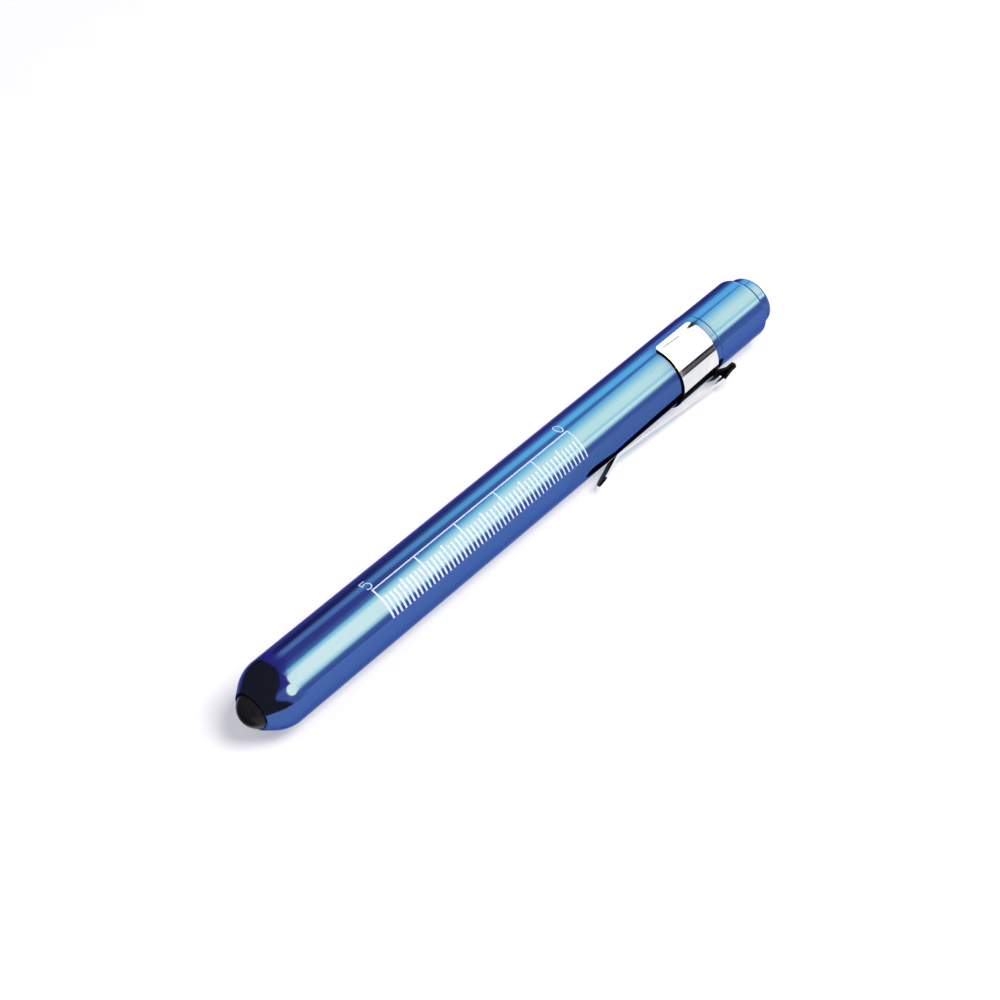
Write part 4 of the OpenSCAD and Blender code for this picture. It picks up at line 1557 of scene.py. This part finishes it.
    def _band_curtain(self) -> None:
        """Hangs the near curtain and two small cards, which the clip's band mirrors as its dark stripes, a dark wedge
        and a dark line.
        """
        turns = ((Glow.LAMP, (-24, 0, 24, 48.4)), (Glow.BLACK, (49.6, 52.6, 55.2, 58.0, 60.0)),
                 (Glow.GREY, (53.8, 56.6)), (Glow.WHITE, (61.0, 67)))
        stripes = [Stripe(turn, turn, glow, glow) for glow, row in turns for turn in row]
        stripes.sort(key=lambda stripe: stripe.front)
        self._curtain("band_curtain", stripes, (106.4, 109, 112, 115, 117.2), 60)
        reach = 24
        for name, corners in (("band_wedge", ((114.7, 1.6), (114.9, 4.2), (117.6, -4.6), (117.3, 8.8))),
                              ("band_line", ((107.7, 0.8), (107.7, 2.2), (112.1, 3.2), (112.1, 4.6)))):
            spots = [(self._mirrored(station, turn, reach), Glow.BLACK.value) for station, turn in corners]
            self._add(name, [spots[:2], spots[2:]])

    def _nose_hood(self) -> None:
        """Hangs the dark hood that the nose mirrors, with the lamp's round end in front of it."""
        reach, front, last_turn, near_from, steps = 40, -5, 66, 37, 18
        edge = [(-66, 5.8), (-40, 6.2), (-10, 6.1), (4, 6.2), (17, 5.6), (28, 4.8), (37, 3.2), (42, 2.6), (47, 2.7),
                (54, 3.7), (60, 4.3), (66, 4.8)]
        end = [(-66, 8.4), (4, 8.4), (15, 7.4), (19, 6.6), (32, 6.15), (50, 6.15), (55, 7.2), (66, 7.6)]
        rows = []
        for turn in range(-last_turn, last_turn + 1, 2):
            black, last = read(edge, turn), read(end, turn)
            soft = Glow.LOW if turn > near_from else Glow.VIOLET
            travels = [(front + (black - front) * i / steps, Glow.CLOAK) for i in range(steps + 1)]
            travels += [(black + (last - black) * share, soft) for share in (0.12, 0.4, 0.7, 1.0)]
            rows.append([(self._mirrored_nose(travel, turn, reach), glow.value) for travel, glow in travels])
        self._add("nose_hood", rows)

        reach, rings, spokes = 36, 5, 24
        (travel, travel_half), (turn, turn_half) = (5.75, 0.95), (46.0, 8.6)
        angles = [math.tau * k / spokes for k in range(spokes + 1)]
        self._add("lamp_round_end", [
            [(self._mirrored_nose(travel + travel_half * i / rings * math.cos(angle),
                                  turn + turn_half * i / rings * math.sin(angle), reach), Glow.BOX.value)
             for angle in angles] for i in range(rings + 1)])

    def _arm_card(self) -> None:
        """Hangs the white card that the edge of the clip's arm mirrors."""
        bow, aside, forward = 5, -2.2, 3.4
        path = [self.clip.tip, self.clip.foot, self.clip.crest]
        turns = [math.radians(angle) for angle in range(-40, 110, 7)]
        self._add("arm_card", [
            [(self.clip.axis.at(station + forward, read(path, station) + bow * math.sin(turn), self.clip.turn,
                                aside - bow * math.cos(turn)), Glow.WHITE.value) for turn in turns]
            for station in range(77, 118)])

    def _cloths(self) -> None:
        """Lays the cloths on the floor that the far side, the lens rim and the near side mirror."""
        dark_from = 50
        far = ((10, Glow.LOW, Glow.INDIGO), (19, Glow.LOW, Glow.INDIGO), (27, Glow.DUSK, Glow.INDIGO),
               (420, Glow.DUSK, Glow.DUSK))
        for name, height, xs, columns in (
                ("far_cloth", 0.6, (-160, 0, 45, 58, 420), far),
                ("front_cloth", 0.7, (-150, -100, -69), [(y, Glow.BLACK, Glow.BLACK) for y in (-4, 16, 40)]),
                ("near_cloth", 0.3, (-64, 0, 64), [(y, Glow.PALE, Glow.PALE) for y in (-4.4, -2, 1)])):
            self._add(name, [[(Vector((x * MM, y * MM, height * MM)), (dark if x > dark_from else glow).value)
                              for y, glow, dark in columns] for x in xs])

    def build(self) -> None:
        """Hangs every card."""
        self._long_curtain()
        self._band_curtain()
        self._nose_hood()
        self._arm_card()
        self._cloths()


@dataclass
class Studio:
    """A pale floor, soft lamps and the camera.

    Attributes:
        eye: where the camera stands, in metres.
        right: direction of the picture's right side.
        up: direction of its top.
        back: direction from the picture to the camera.
        focal: focal length of the camera's lens.
        ambient: level at which the world lights the object.
        ambient_tint: tint of that light.
        shown: share of its own white that the floor shows to the camera.
        mirrored: the same share in metal and glass.
    """

    eye: Vector = field(default_factory=lambda: Vector((-208.754, -172.947, 274.242)) * MM)
    right: Vector = field(default_factory=lambda: Vector((0.65056, -0.75945, 0.0)))
    up: Vector = field(default_factory=lambda: Vector((0.53534, 0.45859, 0.70930)))
    back: Vector = field(default_factory=lambda: Vector((-0.53868, -0.46144, 0.70491)))
    focal: float = 78.82
    ambient: float = 0.22
    ambient_tint: Triple = (0.68, 0.68, 1.26)
    shown: float = 0.42
    mirrored: float = 0.12

    def clear(self) -> None:
        """Removes whatever the start file holds besides the frame."""
        kept = set(frame["nodes"].values()) | set(frame["bodies"].values())
        for thing in list(bpy.data.objects):
            if thing not in kept:
                bpy.data.objects.remove(thing, do_unlink=True)

    def _add_camera(self) -> None:
        """Stands the camera where the picture was taken from."""
        lens = bpy.data.cameras.new("camera")
        lens.sensor_width = 36.0
        lens.lens = self.focal
        lens.clip_start = 0.01
        lens.clip_end = 20.0
        camera = placed("camera", lens)
        columns = Matrix((self.right, self.up, self.back)).transposed().to_4x4()
        camera.matrix_world = Matrix.Translation(self.eye) @ columns
        bpy.context.scene.camera = camera

    @staticmethod
    def _rays(sheet: Sheet) -> tuple[Socket, Socket]:
        """Tells the camera's own rays, and those that metal or glass pass on."""
        path = sheet.add("ShaderNodeLightPath").outputs
        return path["Is Camera Ray"], sheet.math("MAXIMUM", path["Is Glossy Ray"], path["Is Transmission Ray"])

    def _add_world(self) -> None:
        """Makes a white world that lights the object at a plain level."""
        world = bpy.data.worlds.new("pale_room")
        bpy.context.scene.world = world
        sheet = Sheet.blank(world)
        seen = sheet.math("MAXIMUM", *self._rays(sheet))
        tint = sheet.blend(seen, self.ambient_tint, (0.985, 0.99, 1.0))
        glow = sheet.out("ShaderNodeBackground", {
            "Color": tint, "Strength": sheet.spread(seen, 0.0, 1.0, self.ambient, 1.0)})
        sheet.add("ShaderNodeOutputWorld", {"Surface": glow})

    def _add_floor(self) -> None:
        """Lays the pale floor."""
        work = bmesh.new()
        bmesh.ops.create_grid(work, x_segments=2, y_segments=2, size=4.0)
        mesh = bpy.data.meshes.new("floor")
        work.to_mesh(mesh)
        work.free()
        material = bpy.data.materials.new("pale_floor")
        sheet = Sheet.blank(material)
        matt = sheet.out("ShaderNodeBsdfDiffuse", {"Color": (0.93, 0.932, 0.94, 1.0)})
        glow = sheet.out("ShaderNodeEmission", {"Color": (0.985, 0.985, 1.0, 1.0), "Strength": 1.0})
        camera, passed_on = self._rays(sheet)
        share = sheet.plus(sheet.times(camera, self.shown), sheet.times(passed_on, self.mirrored))
        sheet.add("ShaderNodeOutputMaterial", {
            "Surface": sheet.out("ShaderNodeMixShader", {0: share, 1: matt, 2: glow})})
        mesh.materials.append(material)
        placed("floor", mesh)

    def _add_lamp(self, name: str, spot: Triple, size: float, power: float, colour: Triple) -> None:
        """Hangs a soft square lamp that points at the light.

        Args:
            name: name of the lamp.
            spot: where it hangs, in metres.
            size: length of its side, in metres.
            power: its power in watts.
            colour: its colour.
        """
        data = bpy.data.lights.new(name, "AREA")
        data.shape = "SQUARE"
        data.size = size
        data.energy = power
        data.color = colour
        lamp = placed(name, data)
        lamp.location = spot
        lamp.rotation_euler = (-Vector(spot)).to_track_quat("-Z", "Y").to_euler()
        lamp.visible_glossy = False

    def build(self, barrel: Barrel, clip: Clip) -> None:
        """Sets up the whole studio.

        Args:
            barrel: the barrel that mirrors the cards.
            clip: the clip that mirrors them.
        """
        self._add_camera()
        self._add_world()
        self._add_floor()
        self._add_lamp("key_lamp", (0.25, -0.58, 1.16), 0.62, 20.6, (1.0, 0.965, 0.92))
        self._add_lamp("fill_lamp", (-0.5, 0.4, 1.1), 0.9, 2.2, (0.98, 0.98, 1.0))
        Cards(barrel, clip, self.eye).build()
        bpy.context.scene.view_settings.view_transform = "Standard"


def main() -> None:
    """Builds the light and the studio in order."""
    logging.basicConfig(level=logging.INFO, format="%(name)s: %(message)s")
    studio = Studio()
    studio.clear()
    axis = PenAxis.from_frame()
    effects = Effects()
    blue = Anodised(effects).build()
    chrome = BrightMetal(effects, "chrome_plate", (0.80, 0.81, 0.83), (0.72, 0.73, 0.76), 0.05, 0.12, 0.05, 7.0)
    barrel, clip = Barrel(axis), Clip(axis)
    barrel.build(blue)
    Ruler(axis).build(PrintInk(effects).build())
    Lens(axis).build(SmokedLens(effects).build())
    TailCap(axis).build(blue)
    PushButton(axis).build(blue)
    clip.build(chrome.build())
    wire = Insides(effects).build()
    WireSpring(axis, "cell_spring", 0.6, 3.0, 2.3, 3.0).build(wire)
    WireSpring(axis, "return_spring", 0.44, 4.0, 3.0, 3.0, "button_press", 2.0).build(wire)
    studio.build(barrel, clip)


if __name__ == "__main__":
    main()
